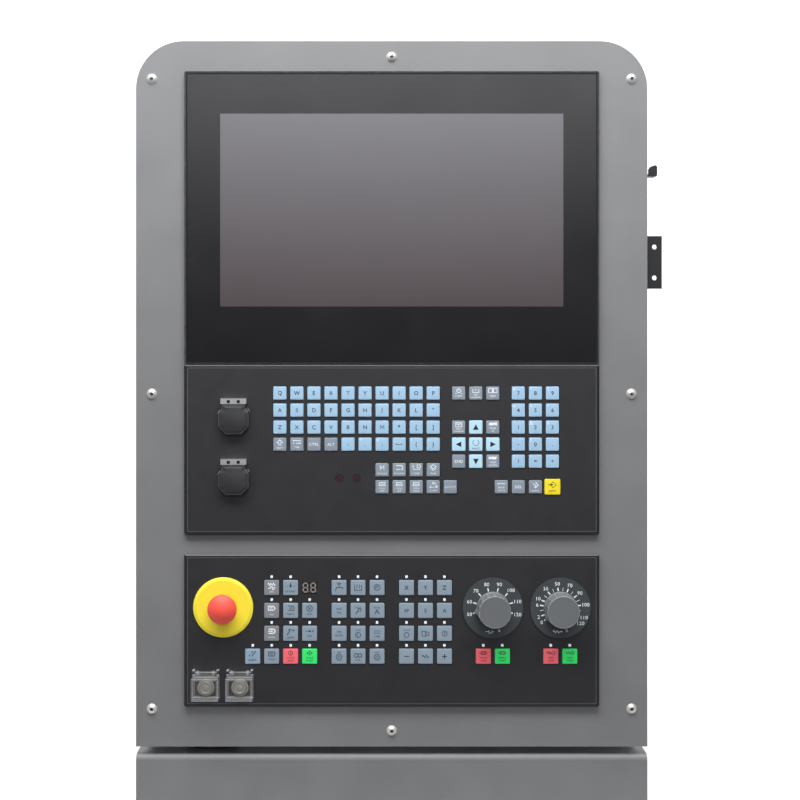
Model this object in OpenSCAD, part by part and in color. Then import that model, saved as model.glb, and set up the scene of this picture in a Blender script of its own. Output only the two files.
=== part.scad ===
// Operator console of a machining centre. A grey panel on a sheet-metal housing carries a display with a
// keyboard and a machine control unit below them. The console swings on a post that stands in a low base.
// Sizes are in millimetres, +Z is up and the front faces -Y. The origin is the middle of the underside of
// the base.

/* [Panel] */
// Panel margin beside the control units
side_margin = 49; // [44:1:70]
// Panel margin above the display
top_margin = 31; // [27:1:50]
// Panel margin below the machine control unit
bottom_margin = 41; // [38:1:60]
// Panel height between the keyboard and the machine control unit
unit_gap = 19.5; // [18:0.5:40]
// Thickness of the panel
panel_t = 4; // [3:0.5:6]
// Radius of the panel's top corners
panel_corner_r = 48; // [30:1:56]
// Gap between the panel and the base
panel_gap = 8; // [6:0.5:14]
// Distance of the panel screws from the panel's edges
screw_inset = 16; // [14:0.5:19]
// Distance of the corner screws from the panel's top and bottom edges
corner_screw_drop = 38; // [32:1:48]
// Thread diameter of the panel screws
screw_d = 6; // [5:0.5:6]
// Head diameter of the panel screws
screw_head_d = 10.5; // [9:0.5:12]
// Head height of the panel screws
screw_head_h = 3.3; // [2.8:0.1:4]
// Length of the panel screws behind the sheet
screw_end = 6; // [4:0.5:12]

/* [Housing] */
// Distance of the housing's walls from the panel's edges
housing_inset = 6; // [4:0.5:7]
// Depth of the housing behind the panel
housing_d = 120; // [100:1:200]
// Thickness of the housing's sheet
sheet_t = 2; // [1.5:0.1:2.5]
// Width of the flange that carries the rear cover
rear_flange_w = 16; // [14:1:24]
// Thickness of the rear cover
cover_t = 1.5; // [1:0.1:3]
// Distance of the rear cover's edge from the housing's edge
cover_inset = 2; // [1:0.5:3]
// Length of a ventilation slot
vent_w = 120; // [60:1:140]
// Height of a ventilation slot
vent_h = 5; // [4:0.5:7]
// Pitch of the ventilation slots
vent_pitch = 13; // [11:0.5:18]
// Slots in each bank
vent_count = 8; // [3:1:10]
// Thread diameter of the cover and side screws
small_screw_d = 4; // [3:0.5:5]
// Length of the cover and side screws behind the sheet
small_screw_end = 4; // [3:0.5:8]

/* [Base] */
// Depth of the base
base_d = 190; // [170:1:300]
// Height of the base
base_h = 140; // [90:1:400]
// Thickness of the base's sheet
base_t = 3; // [2:0.5:4]
// Bend radius along the base's top edges
base_edge_r = 6; // [5:0.5:10]
// Width of the two bars that the base stands on
foot_w = 36; // [30:1:60]
// Distance of the anchor holes from the base's side faces
anchor_inset_x = 40; // [25:1:80]
// Distance of the anchor holes from the base's front and back
anchor_inset_y = 19; // [14:1:22]
// Diameter of the anchor holes
anchor_d = 11; // [7:0.5:14]

/* [Swivel] */
// Distance of the post from the panel's left edge
post_inset = 73; // [60:1:120]
// Distance of the post behind the panel's face
post_depth = 47; // [46:1:70]
// Diameter of the post
post_d = 54; // [50:1:58]
// Diameter of the post's flange under the base's top
post_flange_d = 78; // [66:1:80]
// Thickness of the post's flange
post_flange_t = 8; // [5:0.5:12]
// Diameter of the spindle above the post
spindle_d = 40; // [34:1:44]
// Diameter of the cable bore through the post
cable_bore_d = 28; // [20:1:30]
// Wall of the bearing bush
bush_wall = 4; // [3:0.5:5]
// Thickness of the bush's flange
bush_flange_t = 3; // [2:0.5:4]
// Wall of the boss that holds the bush
boss_wall = 9; // [6:0.5:10]
// Height of that boss
boss_h = 12; // [8:0.5:14]
// Wall of the retaining collar
collar_wall = 10; // [6:0.5:12]
// Height of the retaining collar
collar_h = 8; // [6:0.5:9]

/* [Control units] */
// Width of the control units
unit_w = 416; // [408:1:450]
// Height of the display
display_h = 294; // [286:1:340]
// Height of the keyboard
keyboard_h = 170.5; // [166:0.5:200]
// Height of the machine control unit
machine_h = 153; // [150:1:180]
// Thickness of the units' front walls
front_wall = 2.5; // [2:0.1:3]
// Width of the rims around the units' backs
rim_w = 4; // [3:0.5:5]
// Bevel along the units' front edges
front_bevel = 1.6; // [0.8:0.1:2]
// Corner radius of the units' fronts
unit_corner_r = 2; // [1:0.5:5]
// Overlap of the units' fronts over the panel
panel_lip = 8; // [6.5:0.5:10]
// Diameter of the bosses inside the fronts
front_boss_d = 6; // [4:0.5:7]
// Depth of the electronics behind the display and the keyboard
unit_d = 46; // [40:1:80]
// Height of the cooling fins on their back
fin_h = 10; // [6:1:16]
// Pitch of the cooling fins
fin_pitch = 15; // [10:1:24]
// Thickness of the cooling fins
fin_t = 2; // [1.5:0.1:4]
// Depth of the electronics behind the machine keys
machine_d = 30; // [20:1:40]
// Thickness of the board behind the machine keys
board_t = 2; // [1.6:0.1:3]

/* [Display] */
// Thickness of the glass
glass_t = 3; // [2:0.1:3.2]
// Width of the rim around the glass
glass_rim = 3; // [2:0.1:4]
// Width of the ledge that the glass lies on
glass_ledge = 5; // [4:0.5:6]
// Width of the dark border beside the picture area
lcd_side = 36; // [30:0.5:60]
// Height of the dark border above the picture area
lcd_drop = 42.5; // [36:0.5:60]
// Height of the dark border below the picture area
lcd_rise = 58; // [36:0.5:70]
// Border of the screen module around the picture area
lcd_border = 8; // [4:0.5:10]

/* [Keys] */
// Gap between the keyboard's keys
key_gap = 3.45; // [3.2:0.05:5]
// Corner radius of the keys
key_r = 1; // [0.5:0.1:2]
// Height of the keys above the fronts
key_proud = 1.2; // [0.6:0.1:2]
// Distance of the first key column from the keyboard's left edge
key_left = 96; // [94:0.5:100]
// Distance of the last key column from the keyboard's right edge
key_right = 47.2; // [40:0.1:50]
// Distance of the first key row from the keyboard's top edge
key_top = 28.6; // [24:0.1:34]
// Distance of the last key row from the keyboard's lower edge
key_base = 48.1; // [40:0.1:50]
// Extra width of the input key
input_extra_w = 2.4; // [0:0.1:2.8]
// Extra height of the input key
input_extra_h = 2.2; // [0:0.1:2.4]
// Travel of the keys
key_travel = 1.5; // [1:0.1:2.5]
// Thickness of the flanges that hold the moving keys
key_flange_t = 1; // [0.8:0.1:1.5]
// Width of those flanges
key_flange_w = 1.2; // [0.8:0.1:1.2]
// Diameter of the round status windows
status_d = 8; // [5:0.5:10]

/* [Service ports] */
// Distance of the ports from the keyboard's left edge
port_left = 50; // [46:0.5:56]
// Distance of the upper lid's hinge from the keyboard's top edge
port_drop = 42.6; // [36:0.1:48]
// Distance between the two ports
port_pitch = 60.5; // [56:0.5:70]
// Width of a lid
lid_w = 30.6; // [29:0.1:34]
// Height of a lid below its hinge
lid_h = 29.5; // [28:0.5:32]
// Distance of a lid's shoulders below its hinge
lid_shoulder = 8; // [7:0.5:9]
// Size of a lid's cut-off lower corners
lid_cut = 6.5; // [4:0.5:8]
// Thickness of a lid
lid_t = 5; // [4.6:0.1:6]
// Distance of the groove in a lid from the lid's edge
groove_inset = 2.2; // [1.5:0.1:3]
// Width of that groove
groove_w = 0.8; // [0.5:0.1:1.2]
// Depth of that groove
groove_d = 0.5; // [0.3:0.1:0.8]
// Thickness of the port's flange under the lid
port_flange_t = 3; // [2:0.5:4]
// Diameter of the port's barrel
port_barrel_d = 22; // [21:0.5:23]
// Length of the port's barrel behind the flange
port_barrel_l = 30; // [24:1:36]
// Width of the socket
socket_w = 14.5; // [10:0.5:15]
// Height of the socket
socket_h = 11; // [8:0.5:11]
// Depth of the socket
socket_d = 16; // [10:0.5:20]
// Width of a hinge block
hinge_w = 25.6; // [24:0.1:27]
// Height of a hinge block
hinge_h = 6; // [5:0.5:8]
// Diameter of the lid's hinge pin
lid_pin_d = 2; // [1.6:0.1:2.4]
// Width of a hinge ear
hinge_ear_w = 2.6; // [2:0.1:3]
// Size of the square pockets in a hinge block
hinge_pocket = 2.8; // [2:0.1:3.4]

/* [Machine keys] */
// Distance of the outer groups' middles from the unit's ends
group_end = 39.25; // [38:0.25:42]
// Extra space between two groups of keys
group_space = 10.5; // [9:0.1:14]
// Gap between the machine keys of a row
mkey_gap = 3.8; // [3.4:0.1:5]
// Vertical pitch of the machine keys
mkey_pitch_v = 22.9; // [22.6:0.1:24]
// Height of the machine keys
mkey_h = 15.2; // [13:0.1:15.4]
// Height of the bottom row above the unit's lower edge
mkey_row = 51; // [49:0.5:54]
// Size of the square lamps
led_size = 3; // [2:0.1:3.2]
// Height of a lamp above its key's middle
led_rise = 10.7; // [10.6:0.1:11.5]
// Width of the two-digit display
digits_w = 15; // [12:0.1:16]
// Height of the two-digit display
digits_h = 12.4; // [11:0.1:14]
// Width of a digit's bars
digit_bar = 1.1; // [0.8:0.1:1.3]

/* [Override switches] */
// Gap between the two dials
dial_gap = 7.1; // [5.5:0.1:17]
// Thickness of a dial
dial_t = 1.5; // [1:0.1:2.5]
// Height of the dials above the unit's lower edge
dial_rise = 99.5; // [98:0.5:106]
// Diameter of a knob
knob_d = 33; // [28:0.5:38]
// Height of a knob
knob_h = 25; // [18:0.5:32]
// Radius of a knob's top edge
knob_edge_r = 2; // [1:0.1:3]
// Height of a knob's plain skirt
skirt_h = 4; // [2:0.5:6]
// Reach of a knob's pointer from the axis
pointer_r = 20; // [18:0.1:24]
// Number of grip hollows around a knob
grip_count = 12; // [8:1:16]
// Depth of the grip hollows
grip_depth = 0.8; // [0.4:0.1:1.2]
// Diameter of a knob's shaft
shaft_d = 6; // [4:0.5:6.5]
// Diameter of a switch's threaded neck
switch_neck_d = 10; // [9:0.5:12]
// Size of a switch body
switch_size = 32; // [26:1:38]
// Depth of a switch body
switch_depth = 22; // [18:1:40]

/* [Emergency stop] */
// Diameter of the yellow collar
collar_disc_d = 60; // [50:0.5:62]
// Height of the collar at its middle
collar_disc_h = 2.3; // [1.6:0.1:3]
// Width of the collar's sloping edge
collar_slope = 3; // [1:0.5:5]
// Height of the emergency stop above the unit's lower edge
estop_rise = 100; // [98:0.5:106]
// Diameter of the mushroom head
mushroom_d = 29; // [24:0.5:40]
// Height of the mushroom head
mushroom_h = 13; // [10:0.5:18]
// Travel of the emergency stop
estop_travel = 5.5; // [3:0.5:7]
// Diameter of the neck through the front
estop_neck_d = 22; // [18:0.5:24]
// Diameter of the plunger
plunger_d = 10; // [7:0.5:12]
// Width of the contact block
contact_w = 30; // [26:1:40]
// Height of the contact block
contact_h = 42; // [30:1:44]
// Depth of the contact block
contact_d = 40; // [30:1:60]

/* [Guarded buttons] */
// Distance of each guarded button from the group's middle
button_offset = 17; // [15:0.5:18]
// Height of the guarded buttons above the unit's lower edge
button_rise = 20.5; // [20:0.5:22]
// Width of a guard
guard_w = 26.5; // [25:0.5:28]
// Height of a guard's frame
guard_h = 25; // [24:0.5:27]
// Thickness of a guard's frame
guard_frame_t = 2; // [1.5:0.1:3]
// Depth of a guard's cover
guard_depth = 16; // [15:0.5:20]
// Wall of a guard's cover
guard_wall = 1.6; // [1.2:0.1:2]
// Diameter of a guard's hinge pin
guard_pin_d = 2.4; // [1.8:0.1:2.6]
// Distance of the hinge pin above the cover's top wall
guard_pin_rise = 3.8; // [3.5:0.1:4]
// Distance of the hinge pin above the frame's top edge
guard_pin_over = 0.7; // [0.6:0.1:1.2]
// Distance of the hinge pin in front of the frame
guard_pin_lift = 4.7; // [4.6:0.1:6]
// Wall around the hinge pin
guard_knuckle_wall = 1.2; // [0.8:0.1:1.3]
// Thickness of a guard's fixed ears
guard_ear_t = 2.4; // [1.6:0.1:3]
// Thickness of the cover's knuckles
guard_knuckle_t = 3; // [2:0.1:4]
// Height of a guard's middle above its button
guard_lift = 2; // [1.8:0.1:2.2]
// Diameter of a push-button's lens
lens_d = 12.6; // [10:0.1:12.6]
// Height of a lens above its bezel
lens_proud = 3; // [3:0.1:4]
// Travel of a push-button
button_travel = 2.5; // [1:0.5:2.5]
// Wall of a push-button's barrel
barrel_wall = 1.1; // [0.8:0.1:1.1]
// Width of a bezel beyond the barrel
bezel_rim = 0.8; // [0.5:0.1:0.8]
// Height of a push-button's bezel
bezel_h = 2; // [1.2:0.1:2]
// Depth of a push-button's body behind the board
body_d = 30; // [20:1:50]

/* [Side fittings] */
// Distance of the hook's arm from the panel's top edge
hook_drop = 131; // [110:1:150]
// Reach of the hook beyond the panel's edge
hook_reach = 15; // [12:0.5:24]
// Width of the hook's strip
hook_w = 14; // [12:0.5:20]
// Thickness of the hook's strip
hook_t = 2.5; // [2:0.1:4]
// Height of the hook's upturned tab
hook_tab_h = 10; // [6:0.5:14]
// Width of the hook's upturned tab
hook_tab_w = 9; // [6:0.5:11]
// Height of the hook's leg on the housing
hook_leg = 22; // [18:1:30]
// Distance of the hook behind the panel's face
hook_depth = 26; // [20:1:50]
// Distance of the bracket's top from the panel's top edge
bracket_drop = 194; // [180:1:240]
// Height of the bracket
bracket_h = 54; // [48:1:70]
// Reach of the bracket beyond the panel's edge
bracket_reach = 20.5; // [16:0.5:30]
// Thickness of the bracket
bracket_t = 3; // [2:0.5:4]
// Length of the bracket's leg along the housing
bracket_leg = 30; // [24:1:50]
// Distance of the bracket behind the panel's face
bracket_depth = 30; // [20:1:50]
// Distance between the bracket's two holes
bracket_pitch = 31.7; // [24:0.1:36]
// Diameter of the bracket's holes
bracket_hole_d = 5; // [4:0.1:7]
// Distance of the bracket's holes from its outer edge
bracket_hole_inset = 7.5; // [6:0.5:9]

/* [Clearances] */
// Clearance around a key in its hole
key_fit = 0.3; // [0.2:0.05:0.5]
// Clearance between pieces that move past each other
run_fit = 0.3; // [0.2:0.05:0.5]
// Clearance of a shaft, pin or plunger in its bore
bore_fit = 0.1; // [0.05:0.01:0.15]
// Clearance of a fixed piece in its hole or pocket
seat_fit = 0.2; // [0.1:0.05:0.3]
// Clearance of the electronics in the panel's cut-outs
cutout_fit = 1; // [0.5:0.1:1.5]

/* [Hidden] */
$fn = 48;

grey_paint = "#85888b";
unit_black = "#2b2d2f";
part_black = "#1d1f20";
letter_blue = "#a9c8dc";
cursor_blue = "#bfe4f4";
function_grey = "#8b98a4";
machine_grey = "#93a3b0";
signal_red = "#e8505a";
signal_green = "#2fd468";
signal_yellow = "#f2d93a";
bright_metal = "#b9bcbe";
clear_plastic = "#dfe7ea";

// Heights on the panel, from its lower edge
machine_v = bottom_margin;
keyboard_v = machine_v + machine_h + unit_gap;
display_v = keyboard_v + keyboard_h;
panel_w = unit_w + 2 * side_margin;
panel_h = display_v + display_h + top_margin;
cut_w = unit_w - 2 * panel_lip;

// Depth of the units' fronts: wall, flange, travel and play of a moving key
key_back = run_fit + key_travel;
front_t = key_back + key_flange_t + run_fit + front_wall;
wall_back = front_t - front_wall;
key_top_w = front_t + key_proud;

// Heights above the floor
panel_z = base_h + panel_gap;
housing_z = panel_z + housing_inset;
shoulder_z = housing_z - bush_flange_t;
bush_top_z = housing_z + sheet_t + boss_h + 1;
collar_z = bush_top_z + run_fit;
spindle_top_z = collar_z + collar_h + 1;

post_x = post_inset - panel_w / 2;
post_y = post_depth - base_d / 2;
bush_bore_r = spindle_d / 2 + bore_fit;
bush_r = bush_bore_r + bush_wall;

flange_w = 2 * (screw_inset - housing_inset - sheet_t);
housing_side = panel_w / 2 - housing_inset;
rear_w = -panel_t - housing_d;
cover_screw_inset = housing_inset + sheet_t + rear_flange_w / 2;
small_head_d = 2 * small_screw_d;
small_head_h = 0.6 * small_screw_d;

// Picture area inside the display's borders
lcd_w = unit_w - 2 * lcd_side;
lcd_h = display_h - lcd_drop - lcd_rise;

// Key places as column and row on the keyboard's grid, counted from its first column and row
col_count = 16;
row_count = 5.5;
key_pitch_u = (unit_w - key_left - key_right) / col_count;
key_pitch_v = (keyboard_h - key_top - key_base) / row_count;
key_w = key_pitch_u - key_gap;
key_h = key_pitch_v - key_gap;
letter_cells = [for (row = [0:3], col = [0:9]) if (row < 3 || col > 3) [col, row]];
number_cells = [for (row = [0:4], col = [14:16]) [col, row]];
function_cells = concat(
    [for (col = [0:3]) [col, 3]],
    [for (col = [6:9]) [col, 4.5]],
    [for (col = [6:10]) [col, row_count]],
    [for (col = [10.5:12.5]) [col, 0]],
    [for (col = [10.5, 12.5], row = [2, 4]) [col, row]],
    [for (col = [13:15]) [col, row_count]]);
up_cell = [11.5, 2];
left_cell = [10.5, 3];
select_cell = [11.5, 3];
right_cell = [12.5, 3];
down_cell = [11.5, 4];
input_cell = [col_count, row_count];
cursor_cells = [up_cell, left_cell, select_cell, right_cell, down_cell];
status_cells = [[3.5, 5], [4.5, 5]];

// Groups on the machine control unit, counted from the first; the key groups are three keys wide
group_count = 5;
group_keys = 3;
group_pitch = (unit_w - 2 * group_end) / group_count;
mkey_pitch_u = (group_pitch - group_space) / group_keys;
mkey_w = mkey_pitch_u - mkey_gap;
dial_d = group_pitch - dial_gap;

// Machine key places as group, column and row, counted from the group's middle and the bottom row
digits_place = [1, 1, 3];
reset_place = [1, -2, 0];
cycle_stop_place = [1, 0, 0];
cycle_start_place = [1, 1, 0];
spindle_stop_place = [4, -0.5, 0];
spindle_start_place = [4, 0.5, 0];
feed_stop_place = [5, -0.5, 0];
feed_start_place = [5, 0.5, 0];
moving_places = [reset_place, cycle_stop_place, cycle_start_place, spindle_stop_place, spindle_start_place,
    feed_stop_place, feed_start_place];
fixed_places = concat(
    [[1, -1, 0]],
    [for (row = [1:3], col = [-1:1]) if (row < 3 || col < 1) [1, col, row]],
    [for (group = [2, 3], row = [0:3], col = [-1:1]) [group, col, row]]);
all_places = concat(fixed_places, moving_places);

function key_at(cell) = [key_left - unit_w / 2 + cell[0] * key_pitch_u,
    display_v - key_top - cell[1] * key_pitch_v];
function group_u(group) = (group - group_count / 2) * group_pitch;
function mkey_at(place) = [group_u(place[0]) + place[1] * mkey_pitch_u,
    machine_v + mkey_row + place[2] * mkey_pitch_v];
function dial_at(group) = [group_u(group), machine_v + dial_rise];
function port_at(index) = [port_left - unit_w / 2, display_v - port_drop - index * port_pitch];
function button_at(side) = [group_u(0) + side * button_offset, machine_v + button_rise];

estop_at = [group_u(0), machine_v + estop_rise];
dial_groups = [4, 5];
panel_screws_at = concat(
    [for (side = [-1, 1], v = [corner_screw_drop, panel_h / 2, panel_h - corner_screw_drop])
        [side * (panel_w / 2 - screw_inset), v]],
    [[0, screw_inset], [0, panel_h - screw_inset]]);
cover_screws_at = concat(
    [for (side = [-1, 1], v = [corner_screw_drop + cover_screw_inset, panel_h / 2,
        panel_h - corner_screw_drop - cover_screw_inset]) [side * (panel_w / 2 - cover_screw_inset), v]],
    [[0, cover_screw_inset], [0, panel_h - cover_screw_inset]]);

// Service port: the hinge pin lies in the middle of the lid's thickness
lid_w0 = front_t + port_flange_t + run_fit;
lid_axis_w = lid_w0 + lid_t / 2;
lid_barrel_r = lid_t / 2;
lid_neck_w = hinge_w - 2 * hinge_ear_w - 2 * run_fit;

// Guarded push-button
frame_top = front_t + guard_frame_t;
lens_r = lens_d / 2;
barrel_r = lens_r + run_fit + barrel_wall;
lens_back = 0;
cover_w0 = frame_top + run_fit;
guard_knuckle_r = guard_pin_d / 2 + guard_knuckle_wall;
guard_low_v = guard_lift - guard_h / 2;
guard_pin_v = guard_low_v + guard_h + guard_pin_over;
guard_top_v = guard_pin_v - guard_pin_rise;
guard_pin_w = frame_top + guard_pin_lift;

// Emergency stop
neck_top = front_t + collar_disc_h;
mushroom_w = neck_top + estop_travel + run_fit;
plunger_top = mushroom_w + mushroom_h / 2;
plunger_back = -board_t - contact_d / 2;

// Override knob
knob_w = front_t + dial_t + run_fit;
shaft_back = -board_t - switch_depth / 2;
shaft_top = knob_w + knob_h * 0.6;

// Side fittings
hook_v = panel_h - hook_drop;
bracket_v = panel_h - bracket_drop - bracket_h;

// Places that carry the units' fronts on the electronics behind them
boss_inset = panel_lip + cutout_fit + front_boss_d;
keyboard_bosses = [for (side = [-1, 1], v = [boss_inset, keyboard_h / 2, keyboard_h - boss_inset])
    [side * (unit_w / 2 - boss_inset), keyboard_v + v]];
machine_bosses = [for (side = [-1, 1], v = [machine_h / 2, machine_h - boss_inset])
    [side * (unit_w / 2 - boss_inset), machine_v + v]];

// Panel coordinates: x to the right, y up from the panel's lower edge, z out of the panel's face
module front() {
    translate([0, -base_d / 2, panel_z]) rotate([90, 0, 0]) children();
}

module at(place, w = 0) {
    translate([place[0], place[1], w]) children();
}

module at_post(z = 0) {
    translate([post_x, post_y, z]) children();
}

module rounded_rect(w, h, r) {
    square([w - 2 * r, h], center = true);
    square([w, h - 2 * r], center = true);
    for (x = [-1, 1], y = [-1, 1])
        translate([x * (w / 2 - r), y * (h / 2 - r)]) circle(r);
}

// Outline with square lower corners and round upper corners, standing on y = 0
module arch(w, h, r) {
    translate([-w / 2, 0]) square([w, h - r]);
    translate([r - w / 2, 0]) square([w - 2 * r, h]);
    for (x = [-1, 1])
        translate([x * (w / 2 - r), h - r]) circle(r);
}

module ring(outer_r, inner_r, h) {
    difference() {
        cylinder(r = outer_r, h = h);
        translate([0, 0, -1]) cylinder(r = inner_r, h = h + 2);
    }
}

// Screw along -z with a domed head above z = 0 and a hexagon socket
module button_screw(d, head_d, head_h, length) {
    dome_r = (head_d * head_d / 4 + head_h * head_h) / (2 * head_h);
    difference() {
        rotate_extrude() intersection() {
            translate([0, head_h - dome_r]) circle(dome_r);
            square([head_d / 2, head_h]);
        }
        translate([0, 0, head_h / 2]) cylinder(r = d / 3, h = head_h, $fn = 6);
    }
    translate([0, 0, -length]) cylinder(r = d / 2, h = length);
}

// Base

module base_profile(d, h, r) {
    translate([-d / 2, 0]) square([d, h - r]);
    translate([r - d / 2, 0]) square([d - 2 * r, h]);
    for (y = [-1, 1])
        translate([y * (d / 2 - r), h - r]) circle(r);
}

module base_box() {
    color(grey_paint) difference() {
        rotate([90, 0, 90]) linear_extrude(panel_w, center = true)
            base_profile(base_d, base_h, base_edge_r);
        translate([0, 0, -1]) rotate([90, 0, 90]) linear_extrude(panel_w - 2 * base_t, center = true)
            base_profile(base_d - 2 * base_t, base_h - base_t + 1, base_edge_r - base_t);
        at_post(base_h - base_t - 1) cylinder(r = post_d / 2 + seat_fit, h = base_t + 2);
    }
}

// Bars welded inside the front and back walls, with the anchor holes
module base_feet() {
    color(grey_paint) difference() {
        for (y = [-1, 1])
            translate([base_t - panel_w / 2, y * (base_d / 2 - base_t - foot_w / 2) - foot_w / 2, 0])
                cube([panel_w - 2 * base_t, foot_w, base_t]);
        for (x = [-1, 1], y = [-1, 1])
            translate([x * (panel_w / 2 - anchor_inset_x), y * (base_d / 2 - anchor_inset_y), -1])
                cylinder(r = anchor_d / 2, h = base_t + 2);
    }
}

module swivel_post() {
    flange_z = base_h - base_t - post_flange_t;
    color(part_black) at_post() rotate_extrude() polygon([
        [cable_bore_d / 2, flange_z],
        [post_flange_d / 2, flange_z],
        [post_flange_d / 2, base_h - base_t],
        [post_d / 2, base_h - base_t],
        [post_d / 2, shoulder_z],
        [spindle_d / 2, shoulder_z],
        [spindle_d / 2, spindle_top_z],
        [cable_bore_d / 2, spindle_top_z]]);
}

module retaining_collar() {
    color(bright_metal) at_post(collar_z)
        ring(spindle_d / 2 + collar_wall, spindle_d / 2 + bore_fit, collar_h);
}

// Housing and panel

module housing_outline(inset) {
    edge = housing_inset + inset;
    translate([0, edge]) arch(panel_w - 2 * edge, panel_h - 2 * edge, panel_corner_r - edge);
}

module front_panel() {
    color(grey_paint) front() translate([0, 0, -panel_t]) linear_extrude(panel_t) difference() {
        arch(panel_w, panel_h, panel_corner_r);
        translate([-cut_w / 2, keyboard_v + panel_lip])
            square([cut_w, keyboard_h + display_h - 2 * panel_lip]);
        translate([-cut_w / 2, machine_v + panel_lip]) square([cut_w, machine_h - 2 * panel_lip]);
        for (place = panel_screws_at)
            translate(place) circle(screw_d / 2 + seat_fit);
    }
}

module panel_screws() {
    color(bright_metal) front() for (place = panel_screws_at)
        at(place) button_screw(screw_d, screw_head_d, screw_head_h, panel_t + sheet_t + screw_end);
}

module housing() {
    color(grey_paint) difference() {
        front() translate([0, 0, rear_w]) linear_extrude(housing_d) difference() {
            housing_outline(0);
            housing_outline(sheet_t);
        }
        front() side_screw_places()
            cylinder(r = small_screw_d / 2 + seat_fit, h = 4 * sheet_t, center = true);
        at_post(housing_z - 1) cylinder(r = bush_r + seat_fit, h = sheet_t + 2);
    }
}

// Flat frame inside the housing's walls, with screw holes
module edge_frame(w, width, places, hole_d) {
    front() translate([0, 0, w]) linear_extrude(sheet_t) difference() {
        housing_outline(sheet_t + seat_fit);
        housing_outline(sheet_t + width);
        for (place = places)
            translate(place) circle(hole_d / 2 + seat_fit);
    }
}

// Frames welded into the housing's front and rear edges, and the boss around the bush
module housing_frames() {
    color(grey_paint) {
        edge_frame(-panel_t - sheet_t, flange_w, panel_screws_at, screw_d);
        edge_frame(rear_w, rear_flange_w, cover_screws_at, small_screw_d);
        at_post(housing_z + sheet_t) ring(bush_r + boss_wall, bush_r + seat_fit, boss_h);
    }
}

module vent_slot() {
    square([vent_w - vent_h, vent_h], center = true);
    for (x = [-1, 1])
        translate([x * (vent_w - vent_h) / 2, 0]) circle(vent_h / 2);
}

module rear_cover() {
    color(grey_paint) front() translate([0, 0, rear_w - cover_t]) linear_extrude(cover_t) difference() {
        housing_outline(cover_inset);
        for (place = cover_screws_at)
            translate(place) circle(small_screw_d / 2 + seat_fit);
        for (x = [-1, 1], y = [0.3, 0.78], index = [0:vent_count - 1])
            translate([x * panel_w / 5, y * panel_h + (index - (vent_count - 1) / 2) * vent_pitch])
                vent_slot();
    }
}

module rear_cover_screws() {
    color(bright_metal) front() for (place = cover_screws_at)
        at(place, rear_w - cover_t) rotate([180, 0, 0])
            button_screw(small_screw_d, small_head_d, small_head_h, cover_t + sheet_t + small_screw_end);
}

module swivel_bush() {
    color("#8a7a4e") at_post() rotate_extrude() polygon([
        [bush_bore_r, shoulder_z],
        [post_d / 2, shoulder_z],
        [post_d / 2, housing_z],
        [bush_r, housing_z],
        [bush_r, bush_top_z],
        [bush_bore_r, bush_top_z]]);
}

// Fronts of the control units

// Plate with its lower edge at y = v, its back at z = 0 and bevelled front edges
module bevel_plate(v, h) {
    cut = front_bevel * sqrt(2);
    difference() {
        translate([0, v + h / 2, 0]) linear_extrude(front_t) rounded_rect(unit_w, h, unit_corner_r);
        for (x = [-1, 1])
            translate([x * unit_w / 2, v + h / 2, front_t]) rotate([0, 45, 0])
                cube([cut, h + 2, cut], center = true);
        for (y = [v, v + h])
            translate([0, y, front_t]) rotate([45, 0, 0]) cube([unit_w + 2, cut, cut], center = true);
    }
}

// Front with a hollow back and bosses that stand on the electronics
module front_shell(v, h, bosses) {
    difference() {
        bevel_plate(v, h);
        translate([rim_w - unit_w / 2, v + rim_w, -1])
            cube([unit_w - 2 * rim_w, h - 2 * rim_w, wall_back + 1]);
    }
    for (place = bosses)
        at(place) cylinder(r = front_boss_d / 2, h = wall_back + front_wall / 2);
}

module square_hole(place, w, h) {
    at(place) translate([-w / 2, -h / 2, -1]) cube([w, h, front_t + 2]);
}

module round_hole(place, r) {
    at(place, -board_t - 1) cylinder(r = r, h = board_t + front_t + 2);
}

module display_bezel() {
    pocket_w = unit_w - 2 * glass_rim;
    pocket_h = display_h - 2 * glass_rim;
    color(unit_black) front() difference() {
        bevel_plate(display_v, display_h);
        translate([-pocket_w / 2, display_v + glass_rim, front_t - glass_t])
            cube([pocket_w, pocket_h, glass_t + 1]);
        translate([glass_ledge - pocket_w / 2, display_v + glass_rim + glass_ledge, -1])
            cube([pocket_w - 2 * glass_ledge, pocket_h - 2 * glass_ledge, front_t]);
    }
}

module display_glass() {
    edge = glass_rim + seat_fit;
    color("#1a1c1e") front() translate([edge - unit_w / 2, display_v + edge, front_t - glass_t])
        cube([unit_w - 2 * edge, display_h - 2 * edge, glass_t - seat_fit]);
}

module lcd_module() {
    color("#5a5c5e") front()
        translate([-lcd_w / 2 - lcd_border, display_v + display_h - lcd_drop - lcd_h - lcd_border, 0])
            cube([lcd_w + 2 * lcd_border, lcd_h + 2 * lcd_border, front_t - glass_t]);
}

module control_unit() {
    w = cut_w - 2 * cutout_fit;
    v = keyboard_v + panel_lip + cutout_fit;
    h = keyboard_h + display_h - 2 * panel_lip - 2 * cutout_fit;
    fins = floor((w - fin_t) / fin_pitch);
    color("#9a9c9d") front() difference() {
        union() {
            translate([-w / 2, v, fin_h - unit_d]) cube([w, h, unit_d - fin_h]);
            for (index = [0:fins])
                translate([(index - fins / 2) * fin_pitch - fin_t / 2, v + h / 3, -unit_d])
                    cube([fin_t, h / 2, fin_h + 1]);
        }
        for (index = [0, 1])
            at(port_centre(index), -port_barrel_l - cutout_fit)
                cylinder(r = port_barrel_d / 2 + cutout_fit, h = port_barrel_l + 2 * cutout_fit);
    }
}

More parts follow.
